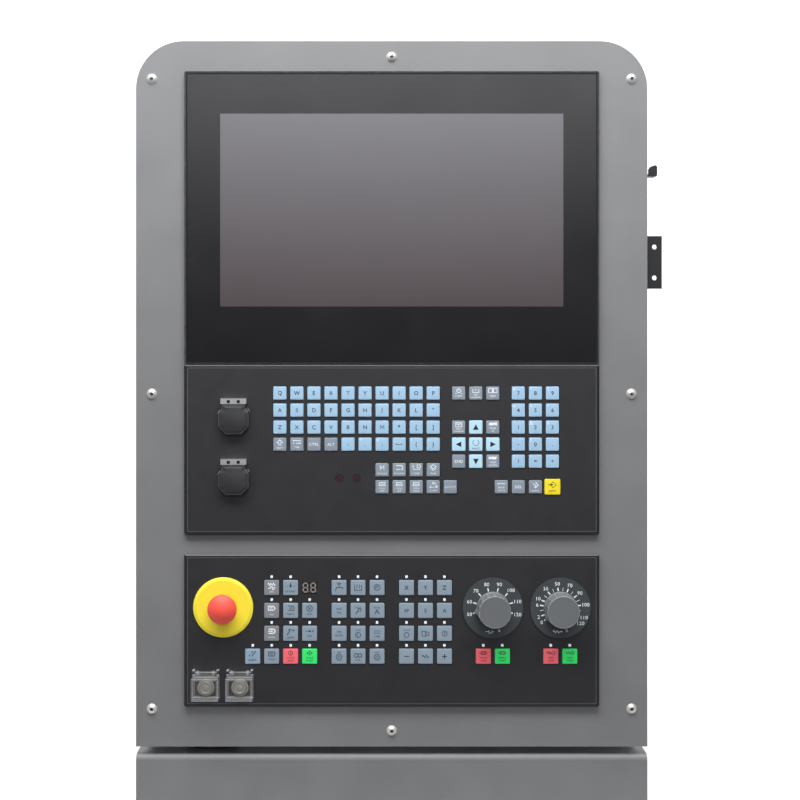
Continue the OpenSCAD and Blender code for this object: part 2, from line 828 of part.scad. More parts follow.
module keyboard_front() {
    hole_w = key_w + 2 * key_fit;
    hole_h = key_h + 2 * key_fit;
    color(unit_black) front() difference() {
        front_shell(keyboard_v, keyboard_h, keyboard_bosses);
        for (cell = concat(letter_cells, number_cells, function_cells, cursor_cells))
            square_hole(key_at(cell), hole_w, hole_h);
        square_hole(key_at(input_cell), hole_w + input_extra_w, hole_h + input_extra_h);
        for (cell = status_cells)
            round_hole(key_at(cell), status_d / 2 + seat_fit);
        for (index = [0, 1])
            round_hole(port_centre(index), port_barrel_d / 2 + seat_fit);
    }
}

// Keys

module fixed_key(w, h) {
    linear_extrude(key_top_w) rounded_rect(w, h, key_r);
}

// Key with a flange that catches behind the front's wall
module moving_key(w, h) {
    translate([0, 0, key_back]) linear_extrude(key_top_w - key_back) rounded_rect(w, h, key_r);
    translate([-w / 2 - key_flange_w, -h / 2 - key_flange_w, key_back])
        cube([w + 2 * key_flange_w, h + 2 * key_flange_w, key_flange_t]);
}

module cursor_key(cell) {
    color(cursor_blue) front() at(key_at(cell)) moving_key(key_w, key_h);
}

module machine_key(place, paint) {
    color(paint) front() at(mkey_at(place)) moving_key(mkey_w, mkey_h);
}

module letter_keys() {
    color(letter_blue) front() for (cell = letter_cells)
        at(key_at(cell)) fixed_key(key_w, key_h);
}

module number_keys() {
    color(letter_blue) front() for (cell = number_cells)
        at(key_at(cell)) fixed_key(key_w, key_h);
}

module function_keys() {
    color(function_grey) front() for (cell = function_cells)
        at(key_at(cell)) fixed_key(key_w, key_h);
}

module up_key() { cursor_key(up_cell); }
module left_key() { cursor_key(left_cell); }
module select_key() { cursor_key(select_cell); }
module right_key() { cursor_key(right_cell); }
module down_key() { cursor_key(down_cell); }

module input_key() {
    color(signal_yellow) front() at(key_at(input_cell))
        moving_key(key_w + input_extra_w, key_h + input_extra_h);
}

module status_lenses() {
    color("#5a1f22") front() for (cell = status_cells)
        at(key_at(cell)) cylinder(r = status_d / 2, h = front_t);
}

// Service ports

// Middle of a port's barrel, half-way down the lid
function port_centre(index) = port_at(index) - [0, lid_h / 2];

// Lid outline below the hinge pin at [0, 0]; its shoulders and lower corners are cut off
module lid_outline(inset) {
    side = lid_w / 2 - inset;
    neck = hinge_w / 2 - inset;
    low = inset - lid_h;
    polygon([
        [-neck, -lid_barrel_r - run_fit - inset], [neck, -lid_barrel_r - run_fit - inset],
        [neck, -lid_shoulder], [side, neck - side - lid_shoulder],
        [side, low + lid_cut], [side - lid_cut, low], [lid_cut - side, low], [-side, low + lid_cut],
        [-side, neck - side - lid_shoulder], [-neck, -lid_shoulder]]);
}

module port_lid(index) {
    color(part_black) front() at(port_at(index)) difference() {
        union() {
            translate([0, 0, lid_w0]) linear_extrude(lid_t) lid_outline(0);
            translate([-lid_neck_w / 2, -lid_barrel_r - 2, lid_w0])
                cube([lid_neck_w, lid_barrel_r + 2, lid_t]);
            translate([-lid_neck_w / 2, 0, lid_axis_w]) rotate([0, 90, 0])
                cylinder(r = lid_barrel_r, h = lid_neck_w);
        }
        translate([0, 0, lid_w0 + lid_t - groove_d]) linear_extrude(2 * groove_d) difference() {
            lid_outline(groove_inset);
            lid_outline(groove_inset + groove_w);
        }
        translate([-lid_w / 2, 0, lid_axis_w]) rotate([0, 90, 0])
            cylinder(r = lid_pin_d / 2 + bore_fit, h = lid_w);
    }
}

module upper_port_lid() { port_lid(0); }
module lower_port_lid() { port_lid(1); }

module port_couplers() {
    color(part_black) front() for (index = [0, 1]) {
        difference() {
            union() {
                at(port_at(index), front_t) linear_extrude(port_flange_t) lid_outline(1);
                at(port_centre(index), -port_barrel_l + front_t)
                    cylinder(r = port_barrel_d / 2, h = port_barrel_l);
            }
            at(port_centre(index), front_t + port_flange_t - socket_d)
                translate([-socket_w / 2, -socket_h / 2, 0]) cube([socket_w, socket_h, socket_d + 1]);
        }
    }
}

module port_hinges() {
    ear_r = lid_barrel_r;
    block_w = lid_axis_w + lid_pin_d / 2 - front_t;
    color(bright_metal) front() for (index = [0, 1]) at(port_at(index)) difference() {
        union() {
            translate([-hinge_w / 2, lid_barrel_r + run_fit, front_t]) cube([hinge_w, hinge_h, block_w]);
            for (side = [-1, 1]) {
                translate([side * (hinge_w - hinge_ear_w) / 2 - hinge_ear_w / 2, 0, lid_axis_w - ear_r])
                    cube([hinge_ear_w, lid_barrel_r + 1, ear_r + lid_pin_d / 2]);
                translate([side * (hinge_w - hinge_ear_w) / 2 - hinge_ear_w / 2, 0, lid_axis_w])
                    rotate([0, 90, 0]) cylinder(r = ear_r, h = hinge_ear_w);
            }
            translate([-hinge_w / 2, 0, lid_axis_w]) rotate([0, 90, 0])
                cylinder(r = lid_pin_d / 2, h = hinge_w);
        }
        for (side = [-1, 1])
            translate([side * hinge_w / 4 - hinge_pocket / 2,
                lid_barrel_r + run_fit + (hinge_h - hinge_pocket) / 2, front_t + block_w - hinge_pocket])
                cube([hinge_pocket, hinge_pocket, hinge_pocket + 1]);
    }
}

// Machine control unit

module machine_front() {
    hole_w = mkey_w + 2 * key_fit;
    hole_h = mkey_h + 2 * key_fit;
    lamp = led_size + 2 * seat_fit;
    color(unit_black) front() difference() {
        front_shell(machine_v, machine_h, machine_bosses);
        for (place = all_places) {
            square_hole(mkey_at(place), hole_w, hole_h);
            square_hole(mkey_at(place) + [0, led_rise], lamp, lamp);
        }
        square_hole(mkey_at(digits_place), digits_w + 2 * seat_fit, digits_h + 2 * seat_fit);
        machine_bores();
    }
}

// Holes of the emergency stop, the override switches and the push-buttons
module machine_bores() {
    round_hole(estop_at, estop_neck_d / 2 + seat_fit);
    for (group = dial_groups)
        round_hole(dial_at(group), switch_neck_d / 2 + seat_fit);
    for (side = [-1, 1])
        round_hole(button_at(side), barrel_r + seat_fit);
}

module machine_unit() {
    w = cut_w - 2 * cutout_fit;
    v = machine_v + panel_lip + cutout_fit;
    h = machine_h - 2 * panel_lip - 2 * cutout_fit;
    color("#3d5a48") front() difference() {
        union() {
            translate([-w / 2, v, -board_t]) cube([w, h, board_t]);
            translate([group_u(1) - group_keys / 2 * mkey_pitch_u, v, -machine_d])
                cube([2 * group_pitch + group_keys * mkey_pitch_u, h, machine_d]);
        }
        machine_bores();
    }
}

module machine_keys() {
    color(machine_grey) front() for (place = fixed_places)
        at(mkey_at(place)) fixed_key(mkey_w, mkey_h);
}

module led_lenses() {
    color("#e8eaea") front() for (place = all_places)
        at(mkey_at(place) + [0, led_rise]) translate([-led_size / 2, -led_size / 2, 0])
            cube([led_size, led_size, front_t + seat_fit]);
}

// Two digits of seven raised bars each
module digit_display() {
    reach = digits_w / 2 - 2 * digit_bar;
    rise = digits_h - 3 * digit_bar;
    upright = rise / 2 - 1.6 * digit_bar;
    color("#8d8680") front() at(mkey_at(digits_place)) {
        translate([-digits_w / 2, -digits_h / 2, 0]) cube([digits_w, digits_h, front_t - seat_fit]);
        for (side = [-1, 1]) translate([side * (digits_w / 4), 0, 0]) {
            for (y = [-1, 0, 1])
                translate([digit_bar - reach / 2, y * (rise - digit_bar) / 2 - digit_bar / 2, 0])
                    cube([reach - 2 * digit_bar, digit_bar, front_t]);
            for (x = [-1, 1], y = [-1, 1])
                translate([x * (reach - digit_bar) / 2 - digit_bar / 2, y * rise / 4 - upright / 2, 0])
                    cube([digit_bar, upright, front_t]);
        }
    }
}

module reset_key() { machine_key(reset_place, letter_blue); }
module cycle_stop_key() { machine_key(cycle_stop_place, signal_red); }
module cycle_start_key() { machine_key(cycle_start_place, signal_green); }
module spindle_stop_key() { machine_key(spindle_stop_place, signal_red); }
module spindle_start_key() { machine_key(spindle_start_place, signal_green); }
module feed_stop_key() { machine_key(feed_stop_place, signal_red); }
module feed_start_key() { machine_key(feed_start_place, signal_green); }

// Emergency stop

module estop_collar() {
    color("#f6d21c") front() at(estop_at, front_t) rotate_extrude() polygon([
        [estop_neck_d / 2 + seat_fit, 0],
        [collar_disc_d / 2, 0],
        [collar_disc_d / 2, collar_disc_h / 2],
        [collar_disc_d / 2 - collar_slope, collar_disc_h],
        [estop_neck_d / 2 + seat_fit, collar_disc_h]]);
}

module estop_body() {
    color(part_black) front() at(estop_at) difference() {
        union() {
            translate([0, 0, -board_t - 1]) cylinder(r = estop_neck_d / 2, h = neck_top + board_t + 1);
            translate([-contact_w / 2, -contact_h / 2, -board_t - contact_d])
                cube([contact_w, contact_h, contact_d]);
        }
        translate([0, 0, plunger_back - estop_travel - run_fit])
            cylinder(r = plunger_d / 2 + bore_fit, h = neck_top - plunger_back + estop_travel + 1);
    }
}

module estop_plunger() {
    color(bright_metal) front() at(estop_at, plunger_back)
        cylinder(r = plunger_d / 2, h = plunger_top - plunger_back);
}

module estop_mushroom() {
    head_r = mushroom_d / 2;
    dome_r = 1.3 * head_r;
    color("#d8362f") front() at(estop_at, mushroom_w) difference() {
        rotate_extrude() intersection() {
            translate([0, mushroom_h - dome_r]) circle(dome_r);
            polygon([[0, 0], [head_r * 0.75, 0], [head_r, mushroom_h * 0.25], [head_r, mushroom_h],
                [0, mushroom_h]]);
        }
        translate([0, 0, -1])
            cylinder(r = plunger_d / 2 + bore_fit, h = plunger_top - mushroom_w + run_fit + 1);
    }
}

// Override switches

module override_dials() {
    color("#454c50") front() for (group = dial_groups)
        at(dial_at(group), front_t) ring(dial_d / 2, switch_neck_d / 2 + seat_fit, dial_t);
}

module override_switches() {
    color(part_black) front() for (group = dial_groups) at(dial_at(group)) difference() {
        union() {
            translate([0, 0, -board_t - 1])
                cylinder(r = switch_neck_d / 2, h = board_t + 1 + front_t + dial_t);
            translate([-switch_size / 2, -switch_size / 2, -board_t - switch_depth])
                cube([switch_size, switch_size, switch_depth]);
        }
        translate([0, 0, shaft_back - run_fit])
            cylinder(r = shaft_d / 2 + bore_fit, h = front_t + dial_t - shaft_back + run_fit + 1);
    }
}

module pointer_outline(half_w, tip) {
    polygon([[-half_w, 0.2 * knob_d], [0, tip], [half_w, 0.2 * knob_d]]);
}

// Knob with its shaft; angle is where the pointer stands, clockwise from the top
module override_knob(group, angle) {
    grip_r = knob_d / 2;
    hollow_r = 0.4 * knob_d;
    color("#6d6f71") front() at(dial_at(group)) rotate([0, 0, -angle]) {
        difference() {
            union() {
                translate([0, 0, knob_w]) difference() {
                    rotate_extrude() {
                        square([grip_r, knob_h - knob_edge_r]);
                        square([grip_r - knob_edge_r, knob_h]);
                        translate([grip_r - knob_edge_r, knob_h - knob_edge_r]) circle(knob_edge_r);
                    }
                    for (index = [1:grip_count - 1])
                        rotate([0, 0, index * 360 / grip_count])
                            translate([0, grip_r + hollow_r - grip_depth, skirt_h])
                                cylinder(r = hollow_r, h = knob_h);
                }
                translate([0, 0, knob_w]) hull() {
                    linear_extrude(knob_edge_r) pointer_outline(0.42 * knob_d, pointer_r);
                    translate([0, 0, knob_h - knob_edge_r]) linear_extrude(knob_edge_r / 2)
                        pointer_outline(0.3 * knob_d, grip_r);
                }
            }
            translate([0, 0, knob_w - 1]) cylinder(r = shaft_d / 2, h = shaft_top - knob_w + 1);
        }
        translate([0, 0, shaft_back]) cylinder(r = shaft_d / 2, h = shaft_top - shaft_back);
    }
}

module spindle_knob() { override_knob(4, -105); }
module feed_knob() { override_knob(5, -127.5); }

// Guarded push-buttons

module guard_frames() {
    color(clear_plastic) front() for (side = [-1, 1]) at(button_at(side)) difference() {
        union() {
            translate([-guard_w / 2, guard_low_v, front_t]) cube([guard_w, guard_h, guard_frame_t]);
            for (x = [-1, 1])
                translate([x * (guard_w - guard_ear_t) / 2 - guard_ear_t / 2, guard_pin_v, guard_pin_w]) {
                    rotate([0, 90, 0]) cylinder(r = guard_knuckle_r, h = guard_ear_t);
                    translate([0, -guard_knuckle_r, front_t - guard_pin_w])
                        cube([guard_ear_t, 2 * guard_knuckle_r, guard_pin_w - front_t]);
                }
            translate([-guard_w / 2, guard_pin_v, guard_pin_w]) rotate([0, 90, 0])
                cylinder(r = guard_pin_d / 2, h = guard_w);
        }
        translate([0, 0, front_t - 1]) cylinder(r = barrel_r + seat_fit, h = guard_frame_t + 2);
    }
}

module guard_cover(side) {
    cover_h = guard_top_v - guard_low_v;
    color(clear_plastic) front() at(button_at(side)) difference() {
        union() {
            translate([-guard_w / 2, guard_low_v, cover_w0]) difference() {
                cube([guard_w, cover_h, guard_depth]);
                translate([guard_wall, guard_wall, -1])
                    cube([guard_w - 2 * guard_wall, cover_h - 2 * guard_wall, guard_depth - guard_wall + 1]);
            }
            for (x = [-1, 1]) translate([x * guard_w * 0.3 - guard_knuckle_t / 2, guard_pin_v, guard_pin_w]) {
                rotate([0, 90, 0]) cylinder(r = guard_knuckle_r, h = guard_knuckle_t);
                translate([0, -guard_pin_rise - guard_wall / 2, -guard_knuckle_r])
                    cube([guard_knuckle_t, guard_pin_rise + guard_wall / 2, 2 * guard_knuckle_r]);
            }
        }
        translate([-guard_w / 2, guard_pin_v, guard_pin_w]) rotate([0, 90, 0])
            cylinder(r = guard_pin_d / 2 + bore_fit, h = guard_w);
    }
}

module left_guard() { guard_cover(-1); }
module right_guard() { guard_cover(1); }

module button_bezels() {
    color(bright_metal) front() for (side = [-1, 1])
        at(button_at(side), frame_top) ring(barrel_r + bezel_rim, lens_r + run_fit, bezel_h);
}

module button_bodies() {
    pit = lens_back - button_travel - run_fit;
    block = 2 * barrel_r;
    color(part_black) front() for (side = [-1, 1]) at(button_at(side)) difference() {
        union() {
            translate([0, 0, -board_t - 1]) cylinder(r = barrel_r, h = board_t + 1 + frame_top);
            translate([-block / 2, -block / 2, -board_t - body_d]) cube([block, block, body_d]);
        }
        translate([0, 0, pit]) cylinder(r = lens_r + run_fit, h = frame_top - pit + 1);
    }
}

module push_button(side) {
    color("#a7abad") front() at(button_at(side), lens_back)
        cylinder(r = lens_r, h = frame_top + bezel_h + lens_proud - lens_back);
}

module left_button() { push_button(-1); }
module right_button() { push_button(1); }

// Fittings on the housing's right side

// Screw places on the side wall, with +z pointing out of the wall
module side_screw_places(lift_hook = 0, lift_bracket = 0) {
    translate([housing_side + lift_hook, hook_v - hook_leg * 0.6, -hook_depth - hook_w / 2])
        rotate([0, 90, 0]) children();
    for (y = [0.2, 0.8])
        translate([housing_side + lift_bracket, bracket_v + y * bracket_h,
            -bracket_depth - bracket_leg * 0.6]) rotate([0, 90, 0]) children();
}

module side_hook() {
    reach = housing_inset + hook_reach;
    color(part_black) front() difference() {
        translate([housing_side, hook_v, -hook_depth - hook_w]) union() {
            translate([0, -hook_leg, 0]) cube([hook_t, hook_leg, hook_w]);
            translate([0, -hook_t, 0]) cube([reach, hook_t, hook_w]);
            translate([reach - hook_tab_w, -hook_t, hook_w - hook_t]) linear_extrude(hook_t) polygon([
                [0, 0], [hook_tab_w, 0], [hook_tab_w, hook_tab_h + hook_t], [0, hook_tab_h * 0.7 + hook_t]]);
        }
        side_screw_places() cylinder(r = small_screw_d / 2 + seat_fit, h = 4 * hook_t, center = true);
    }
}

module side_bracket() {
    reach = housing_inset + bracket_reach;
    color(part_black) front() difference() {
        translate([housing_side, bracket_v, -bracket_depth]) union() {
            translate([0, 0, -bracket_leg]) cube([bracket_t, bracket_h, bracket_leg]);
            translate([0, 0, -bracket_t]) cube([reach, bracket_h, bracket_t]);
        }
        side_screw_places() cylinder(r = small_screw_d / 2 + seat_fit, h = 4 * bracket_t, center = true);
        for (y = [-1, 1])
            translate([housing_side + reach - bracket_hole_inset,
                bracket_v + (bracket_h + y * bracket_pitch) / 2, -bracket_depth - bracket_t - 1])
                cylinder(r = bracket_hole_d / 2, h = bracket_t + 2);
    }
}

module side_screws() {
    color(bright_metal) front() side_screw_places(hook_t, bracket_t)
        button_screw(small_screw_d, small_head_d, small_head_h, hook_t + sheet_t + small_screw_end);
}

base_box();
base_feet();
swivel_post();
retaining_collar();
front_panel();
panel_screws();
housing();
housing_frames();
rear_cover();
rear_cover_screws();
swivel_bush();
display_bezel();
display_glass();
lcd_module();
control_unit();
keyboard_front();
letter_keys();
number_keys();
function_keys();
status_lenses();
port_couplers();
port_hinges();
machine_front();
machine_keys();
led_lenses();
digit_display();
machine_unit();
estop_collar();
estop_body();
override_dials();
override_switches();
guard_frames();
button_bezels();
button_bodies();
side_hook();
side_bracket();
side_screws();
estop_plunger();
estop_mushroom();
spindle_knob();
feed_knob();
upper_port_lid();
lower_port_lid();
left_guard();
right_guard();
left_button();
right_button();
input_key();
up_key();
left_key();
select_key();
right_key();
down_key();
reset_key();
cycle_stop_key();
cycle_start_key();
spindle_stop_key();
spindle_start_key();
feed_stop_key();
feed_start_key();
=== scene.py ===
import math

import bmesh
import bpy
from mathutils import Matrix, Vector


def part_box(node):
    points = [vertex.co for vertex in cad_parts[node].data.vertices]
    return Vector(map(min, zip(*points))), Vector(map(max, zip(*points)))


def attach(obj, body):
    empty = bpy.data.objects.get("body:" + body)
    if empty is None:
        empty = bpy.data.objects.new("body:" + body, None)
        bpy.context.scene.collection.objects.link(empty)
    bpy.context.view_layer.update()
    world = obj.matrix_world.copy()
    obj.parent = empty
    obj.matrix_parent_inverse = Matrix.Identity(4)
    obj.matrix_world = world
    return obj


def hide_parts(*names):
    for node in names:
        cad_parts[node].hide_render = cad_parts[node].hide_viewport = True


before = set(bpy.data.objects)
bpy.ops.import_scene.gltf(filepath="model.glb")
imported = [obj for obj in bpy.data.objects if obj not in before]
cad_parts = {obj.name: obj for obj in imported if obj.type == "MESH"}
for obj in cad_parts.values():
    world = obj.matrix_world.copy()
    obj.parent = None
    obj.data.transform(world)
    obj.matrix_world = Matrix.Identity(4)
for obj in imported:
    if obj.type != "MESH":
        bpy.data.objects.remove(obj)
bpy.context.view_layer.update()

scene = bpy.context.scene
mm = 0.001
weld = 1e-6  # corners of a solid nearer than this are one, in m
level = 0.01  # heights nearer than this are one face, in mm

# Panel coordinates: x to the right, y up from the panel's lower edge, z out of its face, in millimetres
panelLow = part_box("front_panel")[0]
panelFrame = Matrix.Translation((0, panelLow.y, panelLow.z)) @ Matrix.Rotation(math.pi / 2, 4, "X")
panelFrame = panelFrame @ Matrix.Scale(mm, 4)
toPanel = panelFrame.inverted()


def solidsOf(node):
    # lowest and highest corner of each separate solid of a node, in reading order
    bm = bmesh.new()
    bm.from_mesh(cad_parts[node].data)
    bmesh.ops.remove_doubles(bm, verts=bm.verts, dist=weld)
    seen = set()
    found = []
    for start in bm.verts:
        if start in seen:
            continue
        seen.add(start)
        island = [start]
        for vert in island:
            for edge in vert.link_edges:
                other = edge.other_vert(vert)
                if other not in seen:
                    seen.add(other)
                    island.append(other)
        places = [toPanel @ vert.co for vert in island]
        low = Vector([min(p[axis] for p in places) for axis in range(3)])
        high = Vector([max(p[axis] for p in places) for axis in range(3)])
        found.append((low, high))
    bm.free()
    found.sort(key=lambda box: (-round(box[0].y + box[1].y), box[0].x))
    return found


def panelBox(node):
    low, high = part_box(node)
    corners = [toPanel @ low, toPanel @ high]
    return [Vector([pick(c[axis] for c in corners) for axis in range(3)]) for pick in (min, max)]


def middle(box):
    return (box[0] + box[1]) / 2


def softShade(mesh, angle):
    bm = bmesh.new()
    bm.from_mesh(mesh)
    for face in bm.faces:
        face.smooth = True
    for edge in bm.edges:
        edge.smooth = len(edge.link_faces) == 2 and edge.calc_face_angle(math.pi) < math.radians(angle)
    bm.to_mesh(mesh)
    bm.free()


def addPiece(name, mesh, body, material=None, angle=35):
    # a finished mesh in the frame's own place becomes a piece that moves with a body
    mesh.name = name
    softShade(mesh, angle)
    if material:
        mesh.materials.clear()
        mesh.materials.append(material)
    piece = bpy.data.objects.new(name, mesh)
    scene.collection.objects.link(piece)
    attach(piece, body)
    return piece


def meshFrom(bm, place=panelFrame):
    # closes the drawing: faces outwards, from panel millimetres to the frame
    bmesh.ops.recalc_face_normals(bm, faces=bm.faces)
    mesh = bpy.data.meshes.new("drawn")
    bm.to_mesh(mesh)
    bm.free()
    mesh.transform(place)
    return mesh


print("frame loaded, panel face at", round(panelLow.y, 4))


# Node helpers

def addNode(tree, kind, inputs=None, **settings):
    # inputs holds sockets to link and plain values to set
    node = tree.nodes.new(kind)
    for key, value in settings.items():
        setattr(node, key, value)
    for key, value in (inputs or {}).items():
        if isinstance(value, bpy.types.NodeSocket):
            tree.links.new(value, node.inputs[key])
        else:
            node.inputs[key].default_value = value
    return node


def sums(tree, operation, *values):
    return addNode(tree, "ShaderNodeMath", dict(enumerate(values)), operation=operation).outputs[0]


def remap(tree, value, start=0.0, end=1.0, low=0.0, high=1.0):
    # carries a value from start..end over to low..high
    return addNode(tree, "ShaderNodeMapRange", {0: value, 1: start, 2: end, 3: low, 4: high}).outputs[0]


def axesOf(tree, source):
    # x, y and z of the surface's place or normal
    vector = addNode(tree, "ShaderNodeTexCoord").outputs[source]
    return addNode(tree, "ShaderNodeSeparateXYZ", {"Vector": vector}).outputs


def newGroup(name, kind, inputs, outputs):
    tree = bpy.data.node_groups.new(name, kind)
    for way, sockets in (("INPUT", inputs), ("OUTPUT", outputs)):
        for label, socket in sockets.items():
            tree.interface.new_socket(name=label, in_out=way, socket_type="NodeSocket" + socket)
    start = tree.nodes.new("NodeGroupInput")
    end = tree.nodes.new("NodeGroupOutput")
    return tree, start.outputs, end.inputs


def groupIn(tree, group, inputs):
    return addNode(tree, "ShaderNodeGroup", inputs, node_tree=group).outputs


def floats(*labels):
    return {label: "Float" for label in labels}


# Shader groups

grainShape = {"detail": 3.0, "broad": 0.02, "broadDetail": 4.0,
              "broadWeight": 2.0}  # broad: its scale as a share of the fine one
brush = {"stretch": (0.04, 1.0, 1.0), "detail": 5.0}


def makeSurfaceGrain():
    # fine grain for bump and gloss, and a broad mottle of the colour
    wants = {"Colour": "Color", **floats("Mottle", "Roughness", "Spread", "Scale")}
    gives = {"Colour": "Color", **floats("Roughness", "Height")}
    tree, want, give = newGroup("surfaceGrain", "ShaderNodeTree", wants, gives)
    place = addNode(tree, "ShaderNodeTexCoord").outputs["Object"]
    fine = addNode(tree, "ShaderNodeTexNoise", {
        "Vector": place, "Scale": want["Scale"], "Detail": grainShape["detail"]}).outputs["Fac"]
    broad = addNode(tree, "ShaderNodeTexNoise", {
        "Vector": place, "Scale": sums(tree, "MULTIPLY", want["Scale"], grainShape["broad"]),
        "Detail": grainShape["broadDetail"]}).outputs["Fac"]
    swing = sums(tree, "MULTIPLY", sums(tree, "SUBTRACT", broad, 0.5), grainShape["broadWeight"])
    both = sums(tree, "ADD", swing, sums(tree, "SUBTRACT", fine, 0.5))
    factor = sums(tree, "MULTIPLY_ADD", both, want["Mottle"], 1.0)
    toned = addNode(tree, "ShaderNodeVectorMath", {0: want["Colour"], "Scale": factor}, operation="SCALE")
    tree.links.new(toned.outputs["Vector"], give["Colour"])
    tree.links.new(sums(tree, "MULTIPLY_ADD", both, want["Spread"], want["Roughness"]), give["Roughness"])
    tree.links.new(fine, give["Height"])
    return tree


def makeBrushedGrain():
    # long scratches along the x axis, for bare metal
    wants, gives = floats("Roughness", "Spread", "Scale"), floats("Roughness", "Height")
    tree, want, give = newGroup("brushedGrain", "ShaderNodeTree", wants, gives)
    place = addNode(tree, "ShaderNodeTexCoord").outputs["Object"]
    drawn = addNode(tree, "ShaderNodeMapping", {"Vector": place, "Scale": brush["stretch"]}).outputs["Vector"]
    lines = addNode(tree, "ShaderNodeTexNoise", {
        "Vector": drawn, "Scale": want["Scale"], "Detail": brush["detail"]}).outputs["Fac"]
    swing = sums(tree, "SUBTRACT", lines, 0.5)
    tree.links.new(sums(tree, "MULTIPLY_ADD", swing, want["Spread"], want["Roughness"]), give["Roughness"])
    tree.links.new(lines, give["Height"])
    return tree


def makeRectMask():
    # 1 inside a rectangle of the panel, fading over Soft at its edges
    wants = floats("Left", "Right", "Low", "High", "Soft")
    tree, want, give = newGroup("rectMask", "ShaderNodeTree", wants, floats("Mask"))
    axes = axesOf(tree, "Object")
    mask = 1.0
    for axis, low, high in (("X", "Left", "Right"), ("Z", "Low", "High")):
        for ends in ((axes[axis], want[low]), (want[high], axes[axis])):
            depth = sums(tree, "SUBTRACT", *ends)
            edge = addNode(tree, "ShaderNodeMath", {0: depth, 1: want["Soft"]}, operation="DIVIDE",
                           use_clamp=True)
            mask = sums(tree, "MULTIPLY", mask, edge.outputs[0])
    tree.links.new(mask, give["Mask"])
    return tree


surfaceGrain = makeSurfaceGrain()
brushedGrain = makeBrushedGrain()
rectMask = makeRectMask()


# What several finishes share

def blankFinish(name):
    material = bpy.data.materials.new(name)
    material.use_nodes = True
    tree = material.node_tree
    return material, tree, tree.nodes["Principled BSDF"]


def rgba(colour):
    return (*colour, 1.0) if isinstance(colour, tuple) else colour  # a socket stays as it is


def blendOver(tree, base, layers):
    # lays colours over a base colour, each by its own factor
    tone = rgba(base)
    for factor, colour in layers:
        mix = addNode(tree, "ShaderNodeMix", {0: factor, 6: tone, 7: rgba(colour)}, data_type="RGBA")
        tone = mix.outputs[2]
    return tone


def addBump(tree, shader, height, depth):
    bump = addNode(tree, "ShaderNodeBump", {"Height": height, "Distance": depth, "Strength": 1.0})
    tree.links.new(bump.outputs["Normal"], shader.inputs["Normal"])


def addGrain(tree, shader, look, colour=None, rough=None):
    # grain in the colour, gloss and bump of a painted or moulded surface
    grain = groupIn(tree, surfaceGrain, {
        "Colour": colour or rgba(look["colour"]), "Mottle": look["mottle"],
        "Roughness": rough or look["rough"], "Spread": look["spread"], "Scale": look["scale"]})
    tree.links.new(grain["Colour"], shader.inputs["Base Color"])
    tree.links.new(grain["Roughness"], shader.inputs["Roughness"])
    if look["depth"]:
        addBump(tree, shader, grain["Height"], look["depth"])


def addScratches(tree, shader, look):
    # brushed gloss and bump of a metal surface
    grain = groupIn(tree, brushedGrain, {
        "Roughness": look["rough"], "Spread": look["spread"], "Scale": look["scale"]})
    tree.links.new(grain["Roughness"], shader.inputs["Roughness"])
    shader.inputs["Metallic"].default_value = look["metal"]
    addBump(tree, shader, grain["Height"], look["depth"])


def insetMask(tree, low, high, inset, soft):
    # 1 inside a rectangle whose sides are moved inwards; inset and soft in mm
    return groupIn(tree, rectMask, {
        "Left": low.x + inset * mm, "Right": high.x - inset * mm, "Low": low.z + inset * mm,
        "High": high.z - inset * mm, "Soft": soft * mm})["Mask"]


def frameMask(tree, low, high, insets, soft):
    # 1 between two insets of a rectangle
    return sums(tree, "SUBTRACT", *[insetMask(tree, low, high, inset, soft) for inset in insets])


turned = (0.3, 0.6)  # share of a normal where a face starts to look one way, and where it wholly does


def facing(tree):
    # how far a face looks up, down, to either side and to the front, each as a factor
    normal = axesOf(tree, "Normal")
    ways = {"up": normal["Z"], "down": sums(tree, "MULTIPLY", normal["Z"], -1.0),
            "side": sums(tree, "ABSOLUTE", normal["X"]), "front": sums(tree, "MULTIPLY", normal["Y"], -1.0)}
    return {way: remap(tree, value, *turned) for way, value in ways.items()}


# Painted and moulded finishes

